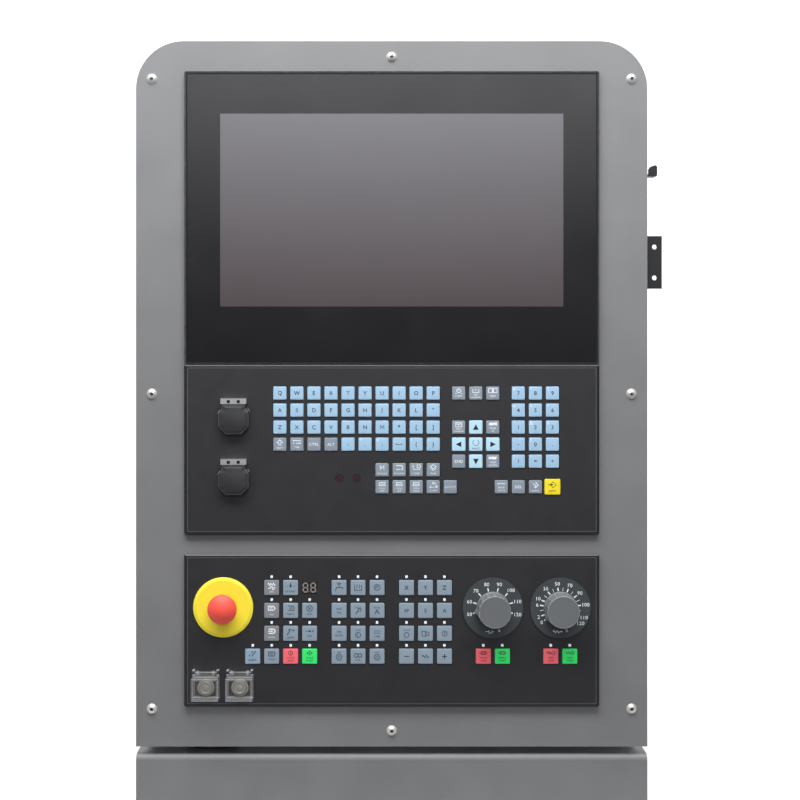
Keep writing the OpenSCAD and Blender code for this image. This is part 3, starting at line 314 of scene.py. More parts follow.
plainLook = {"mottle": 0.05, "spread": 0.1, "scale": 2500.0, "depth": 0.00002, "coat": 0.0, "coatRough": 0.1,
             "glow": 0.0}  # what a grained finish has where it says nothing else
grained = {  # colour, gloss and grain of each one
    "panelPaint": {"colour": (0.194, 0.196, 0.199), "rough": 0.52, "spread": 0.14, "mottle": 0.11,
                   "scale": 1000.0, "depth": 0.00008},
    "postBlack": {"colour": (0.020, 0.020, 0.022), "rough": 0.45, "scale": 1200.0, "depth": 0.00003},
    "bracketBlack": {"colour": (0.016, 0.016, 0.018), "rough": 0.42, "scale": 1400.0, "depth": 0.00004},
    "partBlack": {"colour": (0.022, 0.022, 0.024), "rough": 0.55, "scale": 2200.0, "depth": 0.00004},
    "statusRed": {"colour": (0.034, 0.011, 0.016), "rough": 0.30, "coat": 0.2, "scale": 2000.0},
    # the lamp windows glow a little though unlit: painted light
    "lampWhite": {"colour": (0.90, 0.91, 0.92), "rough": 0.30, "glow": 0.25, "scale": 2600.0},
    "digitGlass": {"colour": (0.014, 0.014, 0.015), "rough": 0.18, "scale": 1800.0, "depth": 0.000004},
    "digitBar": {"colour": (0.255, 0.225, 0.195), "rough": 0.40, "scale": 2600.0},
    "dialGrey": {"colour": (0.050, 0.059, 0.065), "rough": 0.42, "scale": 2600.0, "depth": 0.00003},
    "stopYellow": {"colour": (1.0, 0.84, 0.045), "rough": 0.45, "mottle": 0.04, "scale": 1800.0,
                   "depth": 0.00003},
    "stopRed": {"colour": (1.0, 0.098, 0.068), "rough": 0.50, "mottle": 0.05, "scale": 2000.0,
                "depth": 0.00003},
    "buttonSilver": {"colour": (0.23, 0.218, 0.200), "rough": 0.24, "coat": 0.4, "scale": 1800.0},
    "circuitGreen": {"colour": (0.035, 0.090, 0.055), "rough": 0.45, "mottle": 0.15, "scale": 600.0},
    "inkDark": {"colour": (0.028, 0.034, 0.045), "rough": 0.55, "scale": 4000.0},
    "inkBlack": {"colour": (0.010, 0.011, 0.014), "rough": 0.50, "scale": 4000.0},
    "inkWhite": {"colour": (0.86, 0.88, 0.90), "rough": 0.50, "scale": 4000.0},
    "studioWhite": {"colour": (0.86, 0.86, 0.86), "rough": 0.8, "mottle": 0.01, "scale": 40.0},
}
capGrain = {"mottle": 0.03, "scale": 3000.0}
capTones = {  # colour and gloss of each kind of key
    "letterBlue": ((0.36, 0.56, 0.74), 0.36), "resetBlue": ((0.30, 0.42, 0.54), 0.36),
    "cursorBlue": ((0.49, 0.74, 0.88), 0.36), "functionGrey": ((0.25, 0.30, 0.355), 0.38),
    "machineBlue": ((0.275, 0.350, 0.420), 0.40), "machineGrey": ((0.240, 0.255, 0.280), 0.40),
    "keyYellow": ((0.96, 0.78, 0.02), 0.36), "keyRed": ((1.0, 0.155, 0.190), 0.38),
    "keyGreen": ((0.042, 0.90, 0.18), 0.38),
}
for name, (colour, rough) in capTones.items():
    grained[name] = {**capGrain, "colour": colour, "rough": rough}


def grainFinish(name, look):
    look = {**plainLook, **look}
    material, tree, shader = blankFinish(name)
    addGrain(tree, shader, look)
    shader.inputs["Coat Weight"].default_value = look["coat"]
    shader.inputs["Coat Roughness"].default_value = look["coatRough"]
    shader.inputs["Emission Strength"].default_value = look["glow"]
    if look["glow"]:
        shader.inputs["Emission Color"].default_value = rgba(look["colour"])
    return material


finish = {name: grainFinish(name, look) for name, look in grained.items()}

highlightLook = {"spread": 0.12, "scale": 2200.0, "depth": 0.00004}
highlightLooks = {  # moulded finishes whose paler edge colour is a painted highlight
    "lidBlack": {**highlightLook, "colour": (0.024, 0.024, 0.026), "edge": (0.085, 0.085, 0.088), "rough": 0.55,
                 "mottle": 0.08},
    "knobGrey": {**highlightLook, "colour": (0.150, 0.158, 0.165), "edge": (0.36, 0.37, 0.38), "rough": 0.46,
                 "mottle": 0.06},
}


def highlightFinish(name, look):
    # paler where an attribute of the mesh says: a painted highlight
    material, tree, shader = blankFinish(name)
    paintedHighlight = addNode(tree, "ShaderNodeAttribute", attribute_name="paintedHighlight").outputs["Fac"]
    addGrain(tree, shader, look, blendOver(tree, look["colour"], [(paintedHighlight, look["edge"])]))
    return material


finish.update({name: highlightFinish(name, look) for name, look in highlightLooks.items()})


# Metals and screws

bareMetal = {"metal": 1.0, "depth": 0.00001}
metals = {
    "brightSteel": {**bareMetal, "colour": (0.66, 0.66, 0.65), "rough": 0.26, "spread": 0.14,
                    "scale": 1600.0},
    "hingeCasting": {**bareMetal, "colour": (0.58, 0.59, 0.61), "rough": 0.46, "spread": 0.20, "scale": 900.0,
                     "depth": 0.00003},
    "bearingBronze": {**bareMetal, "colour": (0.55, 0.41, 0.20), "rough": 0.34, "spread": 0.16,
                      "scale": 1200.0},
    "bareSheet": {**bareMetal, "colour": (0.58, 0.59, 0.60), "rough": 0.38, "spread": 0.18, "scale": 700.0},
}
# socket is the colour of painted shade on the floor of each hex socket
screw = {"colour": (0.74, 0.72, 0.69), "socket": (0.075, 0.073, 0.070), "rough": 0.38, "spread": 0.12,
         "scale": 1600.0, "depth": 0.00001, "metal": 0.5,
         "flat": (0.965, 0.985)}  # flat: how straight the normals of a socket's floor are


def metalFinish(name, look):
    material, tree, shader = blankFinish(name)
    shader.inputs["Base Color"].default_value = rgba(look["colour"])
    addScratches(tree, shader, look)
    return material


def screwFinish(name):
    # pale plated heads; the socket's floor, the one flat face, is darkened with painted shade
    material, tree, shader = blankFinish(name)
    normal = axesOf(tree, "Normal")
    straight = sums(tree, "MAXIMUM", sums(tree, "ABSOLUTE", normal["X"]), sums(tree, "ABSOLUTE", normal["Y"]))
    tone = blendOver(tree, screw["colour"], [(remap(tree, straight, *screw["flat"]), screw["socket"])])
    tree.links.new(tone, shader.inputs["Base Color"])
    addScratches(tree, shader, screw)
    return material


finish.update({name: metalFinish(name, look) for name, look in metals.items()})
finish["screwSteel"] = screwFinish("screwSteel")


# Black fronts of the three units

unitFront = {"colour": (0.0195, 0.0195, 0.0225), "dark": (0.003, 0.003, 0.004), "pale": (0.085, 0.085, 0.090),
             "side": (0.008, 0.008, 0.009), "up": (0.070, 0.070, 0.075), "down": (0.010, 0.010, 0.011),
             "groove": (1.9, 2.9), "line": (2.9, 3.6), "soft": 0.1, "rough": 0.47, "grooveRough": 0.9,
             "spread": 0.12, "mottle": 0.10, "scale": 2600.0, "depth": 0.00004}  # band, line and soft in mm; dark is painted shade in the band, pale a painted highlight along the line, side, up and down painted light and shade on the bevels
# on the display's bezel the side and lower bevels are paler, a painted highlight, and the upper one stays
# dark
bezelFront = {**unitFront, "colour": (0.004, 0.004, 0.005), "pale": (0.004, 0.004, 0.005), "rough": 0.26,
              "groove": (1.9, 3.3), "line": (3.3, 3.4), "side": (0.075, 0.075, 0.080),
              "up": (0.012, 0.012, 0.013), "down": (0.110, 0.110, 0.115)}


def frontFinish(name, node, look):
    # painted light and shade on each bevel by the way it faces, a band of painted shade and a painted
    # highlight line around its face
    material, tree, shader = blankFinish(name)
    groove, line = [frameMask(tree, *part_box(node), look[ring], look["soft"]) for ring in ("groove", "line")]
    ways = facing(tree)
    tone = blendOver(tree, look["colour"], [
        (groove, look["dark"]), (line, look["pale"]), (ways["side"], look["side"]), (ways["up"], look["up"]),
        (ways["down"], look["down"])])
    addGrain(tree, shader, look, tone, remap(tree, groove, low=look["rough"], high=look["grooveRough"]))
    return material


for name, node, look in (("bezelBlack", "display_bezel", bezelFront),
                         ("keyboardBlack", "keyboard_front", unitFront),
                         ("machineBlack", "machine_front", unitFront)):
    finish[name] = frontFinish(name, node, look)


# Display glass

screen = {"side": 36.0, "above": 42.5, "below": 58.0, "soft": 0.4,  # borders of the picture area, in mm
          "border": (0.004, 0.004, 0.005), "pictureSheenTop": (0.132, 0.130, 0.141),
          "pictureSheenLow": (0.058, 0.043, 0.047), "borderRough": 0.24, "pictureRough": 0.36, "mottle": 0.05,
          "spread": 0.05, "scale": 900.0, "depth": 0.000001}


def screenFinish(name):
    # dark glass with a greyer, duller picture area, which pales towards the top in a painted reflection
    material, tree, shader = blankFinish(name)
    low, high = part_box("display_bezel")
    low = low + Vector((screen["side"], 0, screen["below"])) * mm
    high = high - Vector((screen["side"], 0, screen["above"])) * mm
    mask = insetMask(tree, low, high, 0.0, screen["soft"])
    # the picture pales from its lower edge to its upper one: a painted reflection
    rise = remap(tree, axesOf(tree, "Object")["Z"], low.z, high.z)
    picture = blendOver(tree, screen["pictureSheenLow"], [(rise, screen["pictureSheenTop"])])
    gloss = remap(tree, mask, low=screen["borderRough"], high=screen["pictureRough"])
    addGrain(tree, shader, screen, blendOver(tree, screen["border"], [(mask, picture)]), gloss)
    return material


finish["screenGlass"] = screenFinish("screenGlass")


# Clear guards

guard = {"colour": (0.82, 0.84, 0.85), "rough": 0.22, "mottle": 0.03, "spread": 0.06, "scale": 700.0,
         "depth": 0.0, "transmission": 0.35, "index": 1.49, "wall": 1.6, "line": 0.35, "tall": 21.9,
         "upLine": 0.9, "upFull": 0.63, "soft": 0.02}  # sizes in mm
guardSolid = {"pane": 0.03, "wall": 0.10, "line": 0.55, "side": 0.08, "up": 0.17,
              "upLine": 0.62}  # how solid each face looks; rim lines and up-facing faces are more solid so they show pale, a painted highlight


def guardFinish(name, cover=None):
    # clear moulding: faces that look up and the rim lines of a cover are made more solid, a painted
    # highlight; its pane hardly shows
    material, tree, shader = blankFinish(name)
    face, shelf = guardSolid["pane"], guardSolid["upLine"]
    if cover:
        low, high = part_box(cover)
        centre, half = (low + high) / 2, (high - low) / 2
        reach = sums(tree, "ABSOLUTE", sums(tree, "SUBTRACT", axesOf(tree, "Object")["Y"], centre.y))
        ends = remap(tree, reach, half.y - guard["upLine"] * mm, half.y - guard["upFull"] * mm)
        shelf = remap(tree, ends, low=guardSolid["up"], high=guardSolid["upLine"])
        top = Vector((high.x, high.y, low.z + guard["tall"] * mm))
        rings = ((0.0, guard["line"]), (guard["wall"] - guard["line"], guard["wall"]))
        rims = sums(tree, "ADD", *[frameMask(tree, low, top, insets, guard["soft"]) for insets in rings])
        walls = remap(tree, rims, low=guardSolid["wall"], high=guardSolid["line"])
        face = remap(tree, insetMask(tree, low, top, guard["wall"], guard["soft"]), low=walls, high=face)
    ways = facing(tree)
    others = remap(tree, ways["up"], low=guardSolid["side"], high=shelf)
    tree.links.new(remap(tree, ways["front"], low=others, high=face), shader.inputs["Alpha"])
    addGrain(tree, shader, guard)
    shader.inputs["IOR"].default_value = guard["index"]
    shader.inputs["Transmission Weight"].default_value = guard["transmission"]
    return material


finish["guardBase"] = guardFinish("guardBase")
for side in ("left", "right"):
    finish[side + "Guard"] = guardFinish(side + "Guard", side + "_guard")

nodeFinish = {  # which finish each carried-over solid wears
    "panelPaint": ["base_box", "base_feet", "front_panel", "housing", "housing_frames", "rear_cover"],
    "postBlack": ["swivel_post"],
    "brightSteel": ["retaining_collar", "estop_plunger"],
    "screwSteel": ["panel_screws", "rear_cover_screws", "side_screws"],
    "bearingBronze": ["swivel_bush"],
    "bezelBlack": ["display_bezel"],
    "keyboardBlack": ["keyboard_front"],
    "machineBlack": ["machine_front"],
    "screenGlass": ["display_glass", "lcd_module"],
    "bareSheet": ["control_unit"],
    "circuitGreen": ["machine_unit"],
    "statusRed": ["status_lenses"],
    "partBlack": ["port_couplers", "estop_body", "override_switches", "button_bodies"],
    "bracketBlack": ["side_bracket"],
    "dialGrey": ["override_dials"],
    "stopYellow": ["estop_collar"],
    "stopRed": ["estop_mushroom"],
    "guardBase": ["guard_frames"],
    "leftGuard": ["left_guard"],
    "rightGuard": ["right_guard"],
    "buttonSilver": ["button_bezels"],
}
for name, nodes in nodeFinish.items():
    for node in nodes:
        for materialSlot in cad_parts[node].material_slots:
            materialSlot.material = finish[name]
print("finishes ready:", len(finish))


# Key caps: one tree makes a rounded, slightly pillowed cap on every point

edgeTurns = (30, 60, 90)  # degrees around a cap's top edge
crownRings = (0.86, 0.62, 0.34)  # rings of the pillowed top, as shares of its size
cornerSteps = 3  # points more on each rounded corner
capWeld = 0.0001  # closes the underside to the walls, in mm


def makeCapTree():
    # a plate that is pulled up and narrowed ring by ring
    wants = {"Points": "Geometry", **floats("Width", "Height", "Corner", "Rise", "Edge", "Crown"),
             "Finish": "Material"}
    tree, want, give = newGroup("keyCap", "GeometryNodeTree", wants, {"Caps": "Geometry"})
    outline = addNode(tree, "GeometryNodeCurvePrimitiveQuadrilateral",
                      {"Width": want["Width"], "Height": want["Height"]})
    rounded = addNode(tree, "GeometryNodeFilletCurve", {
        "Curve": outline.outputs["Curve"], "Radius": want["Corner"], "Count": cornerSteps}, mode="POLY")
    plate = addNode(tree, "GeometryNodeFillCurve", {"Curve": rounded.outputs["Curve"]}, mode="NGONS")
    underside = addNode(tree, "GeometryNodeFlipFaces", {"Mesh": plate.outputs["Mesh"]})
    straight = sums(tree, "SUBTRACT", want["Rise"], sums(tree, "ADD", want["Edge"], want["Crown"]))
    steps = [(straight, 1.0)]  # rise and scale of each ring above the plate
    halfWidth = sums(tree, "MULTIPLY", want["Width"], 0.5)
    reach = halfWidth
    before = 0.0
    for turn in edgeTurns:
        climb = math.sin(math.radians(turn)) - math.sin(math.radians(before))
        inset = sums(tree, "MULTIPLY", want["Edge"], 1 - math.cos(math.radians(turn)))
        narrower = sums(tree, "SUBTRACT", halfWidth, inset)
        steps.append((sums(tree, "MULTIPLY", want["Edge"], climb), sums(tree, "DIVIDE", narrower, reach)))
        reach = narrower
        before = turn
    share = 1.0
    for ring in crownRings:
        climb = sums(tree, "MULTIPLY", want["Crown"], share * share - ring * ring)
        steps.append((climb, ring / share))
        share = ring
    mesh = plate.outputs["Mesh"]
    top = None
    for rise, scale in steps:
        pull = addNode(tree, "GeometryNodeExtrudeMesh",
                       {"Mesh": mesh, "Offset Scale": rise, "Individual": False})
        if top:
            tree.links.new(top, pull.inputs["Selection"])
        top = pull.outputs["Top"]
        shrink = addNode(tree, "GeometryNodeScaleElements",
                         {"Geometry": pull.outputs["Mesh"], "Selection": top, "Scale": scale})
        mesh = shrink.outputs["Geometry"]
    joined = addNode(tree, "GeometryNodeJoinGeometry")
    tree.links.new(underside.outputs["Mesh"], joined.inputs["Geometry"])
    tree.links.new(mesh, joined.inputs["Geometry"])
    closed = addNode(tree, "GeometryNodeMergeByDistance", {
        "Geometry": joined.outputs["Geometry"], "Distance": capWeld})
    copies = addNode(tree, "GeometryNodeInstanceOnPoints", {
        "Points": want["Points"], "Instance": closed.outputs["Geometry"]})
    dress(tree, copies, want["Finish"], give["Caps"])
    return tree


def dress(tree, copies, material, result):
    # the end of each tree: real meshes in their finish
    real = addNode(tree, "GeometryNodeRealizeInstances", {"Geometry": copies.outputs["Instances"]})
    dressed = addNode(tree, "GeometryNodeSetMaterial", {
        "Geometry": real.outputs["Geometry"], "Material": material})
    tree.links.new(dressed.outputs["Geometry"], result)


def makeTickTree():
    # Count straight marks around a dial, Step degrees apart from Start, clockwise from the top
    wants = {"Points": "Geometry", "Count": "Int",
             **floats("Start", "Step", "Radius", "Length", "Width", "Depth"), "Finish": "Material"}
    tree, want, give = newGroup("dialTicks", "GeometryNodeTree", wants, {"Ticks": "Geometry"})
    row = addNode(tree, "GeometryNodeMeshLine", {"Count": want["Count"]})
    index = addNode(tree, "GeometryNodeInputIndex").outputs["Index"]
    turn = sums(tree, "RADIANS", sums(tree, "MULTIPLY_ADD", index, want["Step"], want["Start"]))
    x = sums(tree, "MULTIPLY", sums(tree, "SINE", turn), want["Radius"])
    y = sums(tree, "MULTIPLY", sums(tree, "COSINE", turn), want["Radius"])
    around = addNode(tree, "ShaderNodeCombineXYZ", {"X": x, "Y": y})
    placed = addNode(tree, "GeometryNodeSetPosition", {
        "Geometry": row.outputs["Mesh"], "Position": around.outputs["Vector"]})
    size = addNode(tree, "ShaderNodeCombineXYZ", {
        "X": want["Width"], "Y": want["Length"], "Z": want["Depth"]})
    bar = addNode(tree, "GeometryNodeMeshCube", {"Size": size.outputs["Vector"]})
    spin = addNode(tree, "ShaderNodeCombineXYZ", {"Z": sums(tree, "MULTIPLY", turn, -1.0)})
    marks = addNode(tree, "GeometryNodeInstanceOnPoints", {
        "Points": placed.outputs["Geometry"], "Instance": bar.outputs["Mesh"],
        "Rotation": spin.outputs["Vector"]})
    dress(tree, marks, want["Finish"], give["Ticks"])
    return tree


def newCarrier(data):
    carrier = bpy.data.objects.new("carrier", data)
    scene.collection.objects.link(carrier)
    return carrier


def plainMesh(carrier):
    # the finished shape of a carrier as a mesh; the carrier itself goes
    bpy.context.view_layer.update()
    made = bpy.data.meshes.new_from_object(carrier.evaluated_get(bpy.context.evaluated_depsgraph_get()))
    bpy.data.objects.remove(carrier)
    return made


def grow(tree, points, values):
    # runs a tree on points in panel millimetres and returns its result as a plain mesh in the frame
    seed = bpy.data.meshes.new("seed")
    seed.from_pydata(points, [], [])
    carrier = newCarrier(seed)
    modifier = carrier.modifiers.new("tree", "NODES")
    modifier.node_group = tree
    for item in tree.interface.items_tree:
        if item.in_out == "INPUT" and item.name in values:
            modifier[item.identifier] = values[item.name]
    grown = plainMesh(carrier)
    grown.transform(panelFrame)
    return grown


capTree = makeCapTree()
tickTree = makeTickTree()
cap = {"corner": 1.0, "edge": 0.35, "crown": 0.22, "foot": 3.6, "inset": 0.12}  # foot: where it starts
smallCap = {**cap, "inset": 0.25}


def growCaps(boxes, material, shape=cap):
    # caps that fill the given boxes; all boxes of one call have the same size
    low, high = boxes[0]
    points = [(middle(box).x, middle(box).y, shape["foot"]) for box in boxes]
    less = 2 * shape["inset"]
    return grow(capTree, points, {
        "Width": high.x - low.x - less, "Height": high.y - low.y - less, "Corner": shape["corner"],
        "Rise": high.z - shape["foot"], "Edge": shape["edge"], "Crown": shape["crown"], "Finish": material})


def topFace(node):
    # the visible face of a moving key: its box without the flange behind the front
    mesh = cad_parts[node].data
    places = [toPanel @ vert.co for vert in mesh.vertices]
    highest = max(p.z for p in places)
    face = [p for p in places if p.z > highest - level]
    low = Vector((min(p.x for p in face), min(p.y for p in face), 0))
    high = Vector((max(p.x for p in face), max(p.y for p in face), highest))
    return low, high


# Drawing pens for the marks on keys and dials, in millimetres

ink = {"under": -0.05, "over": 0.035, "line": 0.6, "turns": 20, "bold": 0.013, "space": 1.1, "smooth": 3,
       "mitre": 0.4, "arrowHalf": 0.6}  # mitre limits a sharp corner; arrowHalf: against a head's length
gear = {"teeth": 8, "root": 0.8, "line": 0.5, "hub": 0.35, "hubLine": 0.45}  # root, hub: shares of its radius
wordMeshes = {}


def wordMesh(text, size, bold):
    if (text, size, bold) not in wordMeshes:
        letters = bpy.data.curves.new("letters", "FONT")
        letters.body = text
        letters.size = size
        letters.align_x = "CENTER"
        letters.align_y = "CENTER"
        letters.resolution_u = ink["smooth"]
        letters.space_character = ink["space"]
        letters.extrude = (ink["over"] - ink["under"]) / 2
        letters.offset = 0.0 if "M" in text else bold * size  # a bolder M folds over itself
        wordMeshes[(text, size, bold)] = plainMesh(newCarrier(letters))
    return wordMeshes[(text, size, bold)]


def drawWord(bm, text, y, size, x=0.0, bold=ink["bold"]):
    # text stands on its optical middle
    mesh = wordMesh(text, size, bold).copy()
    heights = [vert.co.y for vert in mesh.vertices]
    lift = (max(heights) + min(heights)) / 2 if len(text) > 1 or text.isalnum() else 0.0
    mesh.transform(Matrix.Translation((x, y - lift, (ink["over"] + ink["under"]) / 2)))
    bm.from_mesh(mesh)
    bpy.data.meshes.remove(mesh)


def drawArea(bm, points):
    low = [bm.verts.new((x, y, ink["under"])) for x, y in points]
    high = [bm.verts.new((x, y, ink["over"])) for x, y in points]
    bm.faces.new(high)
    bm.faces.new(list(reversed(low)))
    for i in range(len(points)):
        j = (i + 1) % len(points)
        bm.faces.new((low[i], low[j], high[j], high[i]))


def drawLine(bm, points, width=None, closed=False):
    # a stroke of even width with mitred corners
    width = width or ink["line"]
    path = [Vector(p) for p in points]
    count = len(path)
    sides = []
    for i, point in enumerate(path):
        before = point - path[i - 1] if closed or i > 0 else None
        after = path[(i + 1) % count] - point if closed or i < count - 1 else None
        first = (before or after).normalized()
        second = (after or before).normalized()
        along = (first + second).normalized()
        across = Vector((-along.y, along.x))
        stretch = 1 / max(ink["mitre"], across.dot(Vector((-first.y, first.x))))
        sides.append((point + across * width / 2 * stretch, point - across * width / 2 * stretch))
    rings = [[bm.verts.new((p.x, p.y, z)) for p, z in (
        (a, ink["over"]), (b, ink["over"]), (b, ink["under"]), (a, ink["under"]))] for a, b in sides]
    for i in range(count if closed else count - 1):
        here, there = rings[i], rings[(i + 1) % count]
        for k in range(4):
            bm.faces.new((here[k], here[(k + 1) % 4], there[(k + 1) % 4], there[k]))
    if not closed:
        bm.faces.new(rings[0])
        bm.faces.new(list(reversed(rings[-1])))


def arcPoints(x, y, r, start=0.0, sweep=360.0, turns=None):
    turns = turns or ink["turns"]
    steps = turns if sweep >= 360 else turns + 1
    angles = [math.radians(start + sweep * i / turns) for i in range(steps)]
    return [(x + r * math.cos(a), y + r * math.sin(a)) for a in angles]


def drawRing(bm, x, y, r, width=None):
    drawLine(bm, arcPoints(x, y, r), width, True)


def drawArc(bm, x, y, r, start, sweep, width=None):
    drawLine(bm, arcPoints(x, y, r, start, sweep), width)


def drawDisc(bm, x, y, r):
    drawArea(bm, arcPoints(x, y, r))


def drawBox(bm, x0, y0, x1, y1, width=None):
    drawLine(bm, [(x0, y0), (x1, y0), (x1, y1), (x0, y1)], width, True)


def drawArrow(bm, x0, y0, x1, y1, head=1.5, width=None):
    start, end = Vector((x0, y0)), Vector((x1, y1))
    along = (end - start).normalized()
    across = Vector((-along.y, along.x))
    neck = end - along * head
    drawLine(bm, [start, neck], width)
    wing = across * head * ink["arrowHalf"]
    drawArea(bm, [tuple(end), tuple(neck + wing), tuple(neck - wing)])


def drawGear(bm, x, y, r):
    points = []
    root = gear["root"]
    for tooth in range(gear["teeth"]):
        for share, reach in ((0.0, root), (0.25, root), (0.35, 1.0), (0.65, 1.0), (0.75, root)):
            a = 2 * math.pi * (tooth + share) / gear["teeth"]
            points.append((x + r * reach * math.cos(a), y + r * reach * math.sin(a)))
    drawLine(bm, points, gear["line"], True)
    drawRing(bm, x, y, r * gear["hub"], gear["hubLine"])


def drawWave(bm, x0, x1, y, rise, turns, width=None):
    steps = 4 * turns
    points = []
    for i in range(steps + 1):
        points.append((x0 + (x1 - x0) * i / steps, y + rise * (0, 1, 0, -1)[i % 4]))
    drawLine(bm, points, width)


# Each stroke below starts with the name of its pen
pens = {"word": drawWord, "line": drawLine, "ring": drawRing, "arc": drawArc, "disc": drawDisc,
        "area": drawArea, "box": drawBox, "arrow": drawArrow, "gear": drawGear, "wave": drawWave}


def capLift(x, y, half):
    # how far the pillowed top lies below its middle
    share = min(1.0, max(abs(x) / half.x, abs(y) / half.y))
    return -cap["crown"] * share * share


def drawMarks(target, strokes, box):
    # draws one key's marks on its cap's top, bent to the pillow
    bm = bmesh.new()
    for command, *rest in strokes:
        pens[command](bm, *rest)
    half = (box[1] - box[0]) / 2
    for vert in bm.verts:
        vert.co.z += box[1].z + capLift(vert.co.x, vert.co.y, half)
    place = middle(box)
    bmesh.ops.translate(bm, verts=bm.verts, vec=(place.x, place.y, 0))
    mesh = bpy.data.meshes.new("marks")
    bm.to_mesh(mesh)
    bm.free()
    target.from_mesh(mesh)
    bpy.data.meshes.remove(mesh)


def addMarks(name, rows, body, material):
    # one piece with the marks of many keys; rows holds pairs of box and strokes
    bm = bmesh.new()
    for box, strokes in rows:
        drawMarks(bm, strokes, box)
    addPiece(name, meshFrom(bm), body, material)


# Marks of the letter, number and function keys, in reading order

def letterM(y):
    return ["line", [(-1.8, y - 2.0), (-1.8, y + 2.0), (0, y - 0.6), (1.8, y + 2.0), (1.8, y - 2.0)], 0.6]


def menuStrokes(word):
    return [["line", [(-3.2, 1.2), (-2.6, 4.4), (2.6, 4.4), (3.2, 1.2)], 0.6, True],
            ["line", [(-2.2, 2.6), (2.2, 2.6)]], ["word", "MENU", -1.4, 2.2], ["word", word, -3.9, 2.2]]


functionMarks = [
    [["ring", 0, 2.4, 2.0], ["line", [(-0.9, 2.9), (-0.4, 2.9)]], ["line", [(0.4, 2.9), (0.9, 2.9)]],
     ["line", [(-3.6, -0.3), (3.6, -0.3)]], ["word", "CLEAR", -2.8, 2.3]],
    [["line", [(-3, 4.2), (-3, 0.6), (3, 0.6), (3, 4.2)]], ["line", [(0, 4.2), (0, 2.2)]],
     ["word", "SET", -1.6, 2.2], ["word", "CHANNEL", -4.1, 1.9]],
    [["box", -4.2, 0.6, -0.5, 4.6], ["box", 0.5, 0.6, 4.2, 4.6], ["line", [(0, 0.2), (0, 4.2)]],
     ["word", "HELP", -2.9, 2.5]],
    [["box", -3, 0.4, 3, 4.6], ["line", [(-3, 3.2), (3, 3.2)]], ["line", [(0, 0.4), (0, 3.2)]],
     ["word", "NEXT", -1.6, 2.1], ["word", "WINDOW", -4.1, 2.0]],
    [["area", [(-4.4, 3.2), (-3, 4.6), (4.2, 4.6), (4.2, 1.9), (-3, 1.9)]], ["word", "PAGE", -0.9, 2.4],
     ["word", "UP", -3.9, 2.4]],
    [["line", [(-1.1, -0.6), (-1.1, 1.6), (-2.6, 1.6), (0, 4.6), (2.6, 1.6), (1.1, 1.6), (1.1, -0.6)],
      0.6, True], ["word", "SHIFT", -3.6, 2.4]],
    [["arrow", 4.2, 3.6, -4.2, 3.6], ["arrow", -4.2, 1.0, 4.2, 1.0], ["word", "TAB", -3.0, 2.6]],
    [["word", "CTRL", 0, 3.9]],
    [["word", "ALT", 0, 3.9]],
    [["word", "END", 0, 3.9]],
    [["area", [(-4.2, 4.6), (4.4, 4.6), (3.0, 1.9), (-4.2, 1.9)]], ["word", "PAGE", -0.9, 2.4],
     ["word", "DOWN", -3.9, 2.4]],
    [letterM(2.2), ["word", "MACHINE", -3.6, 2.1]],
    [["line", [(-3, 4.2), (2.6, 4.2), (3.6, 3.2), (3.6, 0.4), (-3, 0.4)], 0.8],
     ["word", "PROGRAM", -3.6, 2.1]],
    [["arrow", -3, 0.6, -3, 5.0], ["arrow", -3, 0.6, 4.4, 0.6], ["box", 0.8, 2.4, 4.2, 4.8],
     ["word", "OFFSET", -3.6, 2.2]],
    [["line", [(-3, 3.2), (0, 5.2), (3, 3.2), (0, 1.2)], 0.6, True],
     ["line", [(-3, 1.6), (0, -0.4), (3, 1.6)], 0.6], ["word", "FILES", -3.6, 2.3]],
    *[menuStrokes(word) for word in ("USER", "LIST", "TOOL")],
    [["line", [(-3.4, -0.4), (0, 4.6), (3.4, -0.4)], 0.7, True], ["line", [(1.4, 4.4), (4.6, -0.4)], 0.7],
     ["word", "ALARM", -3.6, 2.2]],
    [["word", "CUSTOM", 0, 2.5]],
    [["arrow", 4.2, 3.2, -4.2, 3.2], ["word", "BACK", -0.6, 2.4], ["word", "SPACE", -3.6, 2.2]],
    [["word", "DEL", 0, 3.9]],
    [["line", [(-0.2, 4.8), (2.8, 1.8), (-0.2, -1.2)], 0.7],
     ["line", [(-2.6, 3.4), (0.6, 1.0), (-1.2, -0.6)], 0.7], ["word", "INSERT", -3.9, 2.1]],
]
letterMarks = [*"QWERTYUIOP", *"ASDFGHJKL\"", *"ZXCVBNM*[]", *":,;", "space", *"()"]
numberMarks = [*"789", *"456", *"123", *"-0.", *"/=+"]
signMarks = [*"!?#", "_", *"<>"]  # small white second signs of the last row of letter keys
numberSigns = [*"&*(", *"$%^", *"!@#", *"_):", *"|~'"]  # and of the number keys
drawnLetters = {"space": [["line", [(-2.8, 0.9), (-2.8, -0.3), (2.8, -0.3), (2.8, 0.9)], 0.6]],
                "M": [letterM(0)]}
letterSize = 5.6
sign = {"size": 3.4, "x": -4.3, "y": 4.0}


def letterStrokes(letter):
    return drawnLetters.get(letter, [["word", letter, 0, letterSize]])


def signStrokes(text):
    return [["word", text, sign["y"], sign["size"], sign["x"]]]


# Marks of the machine keys, in reading order

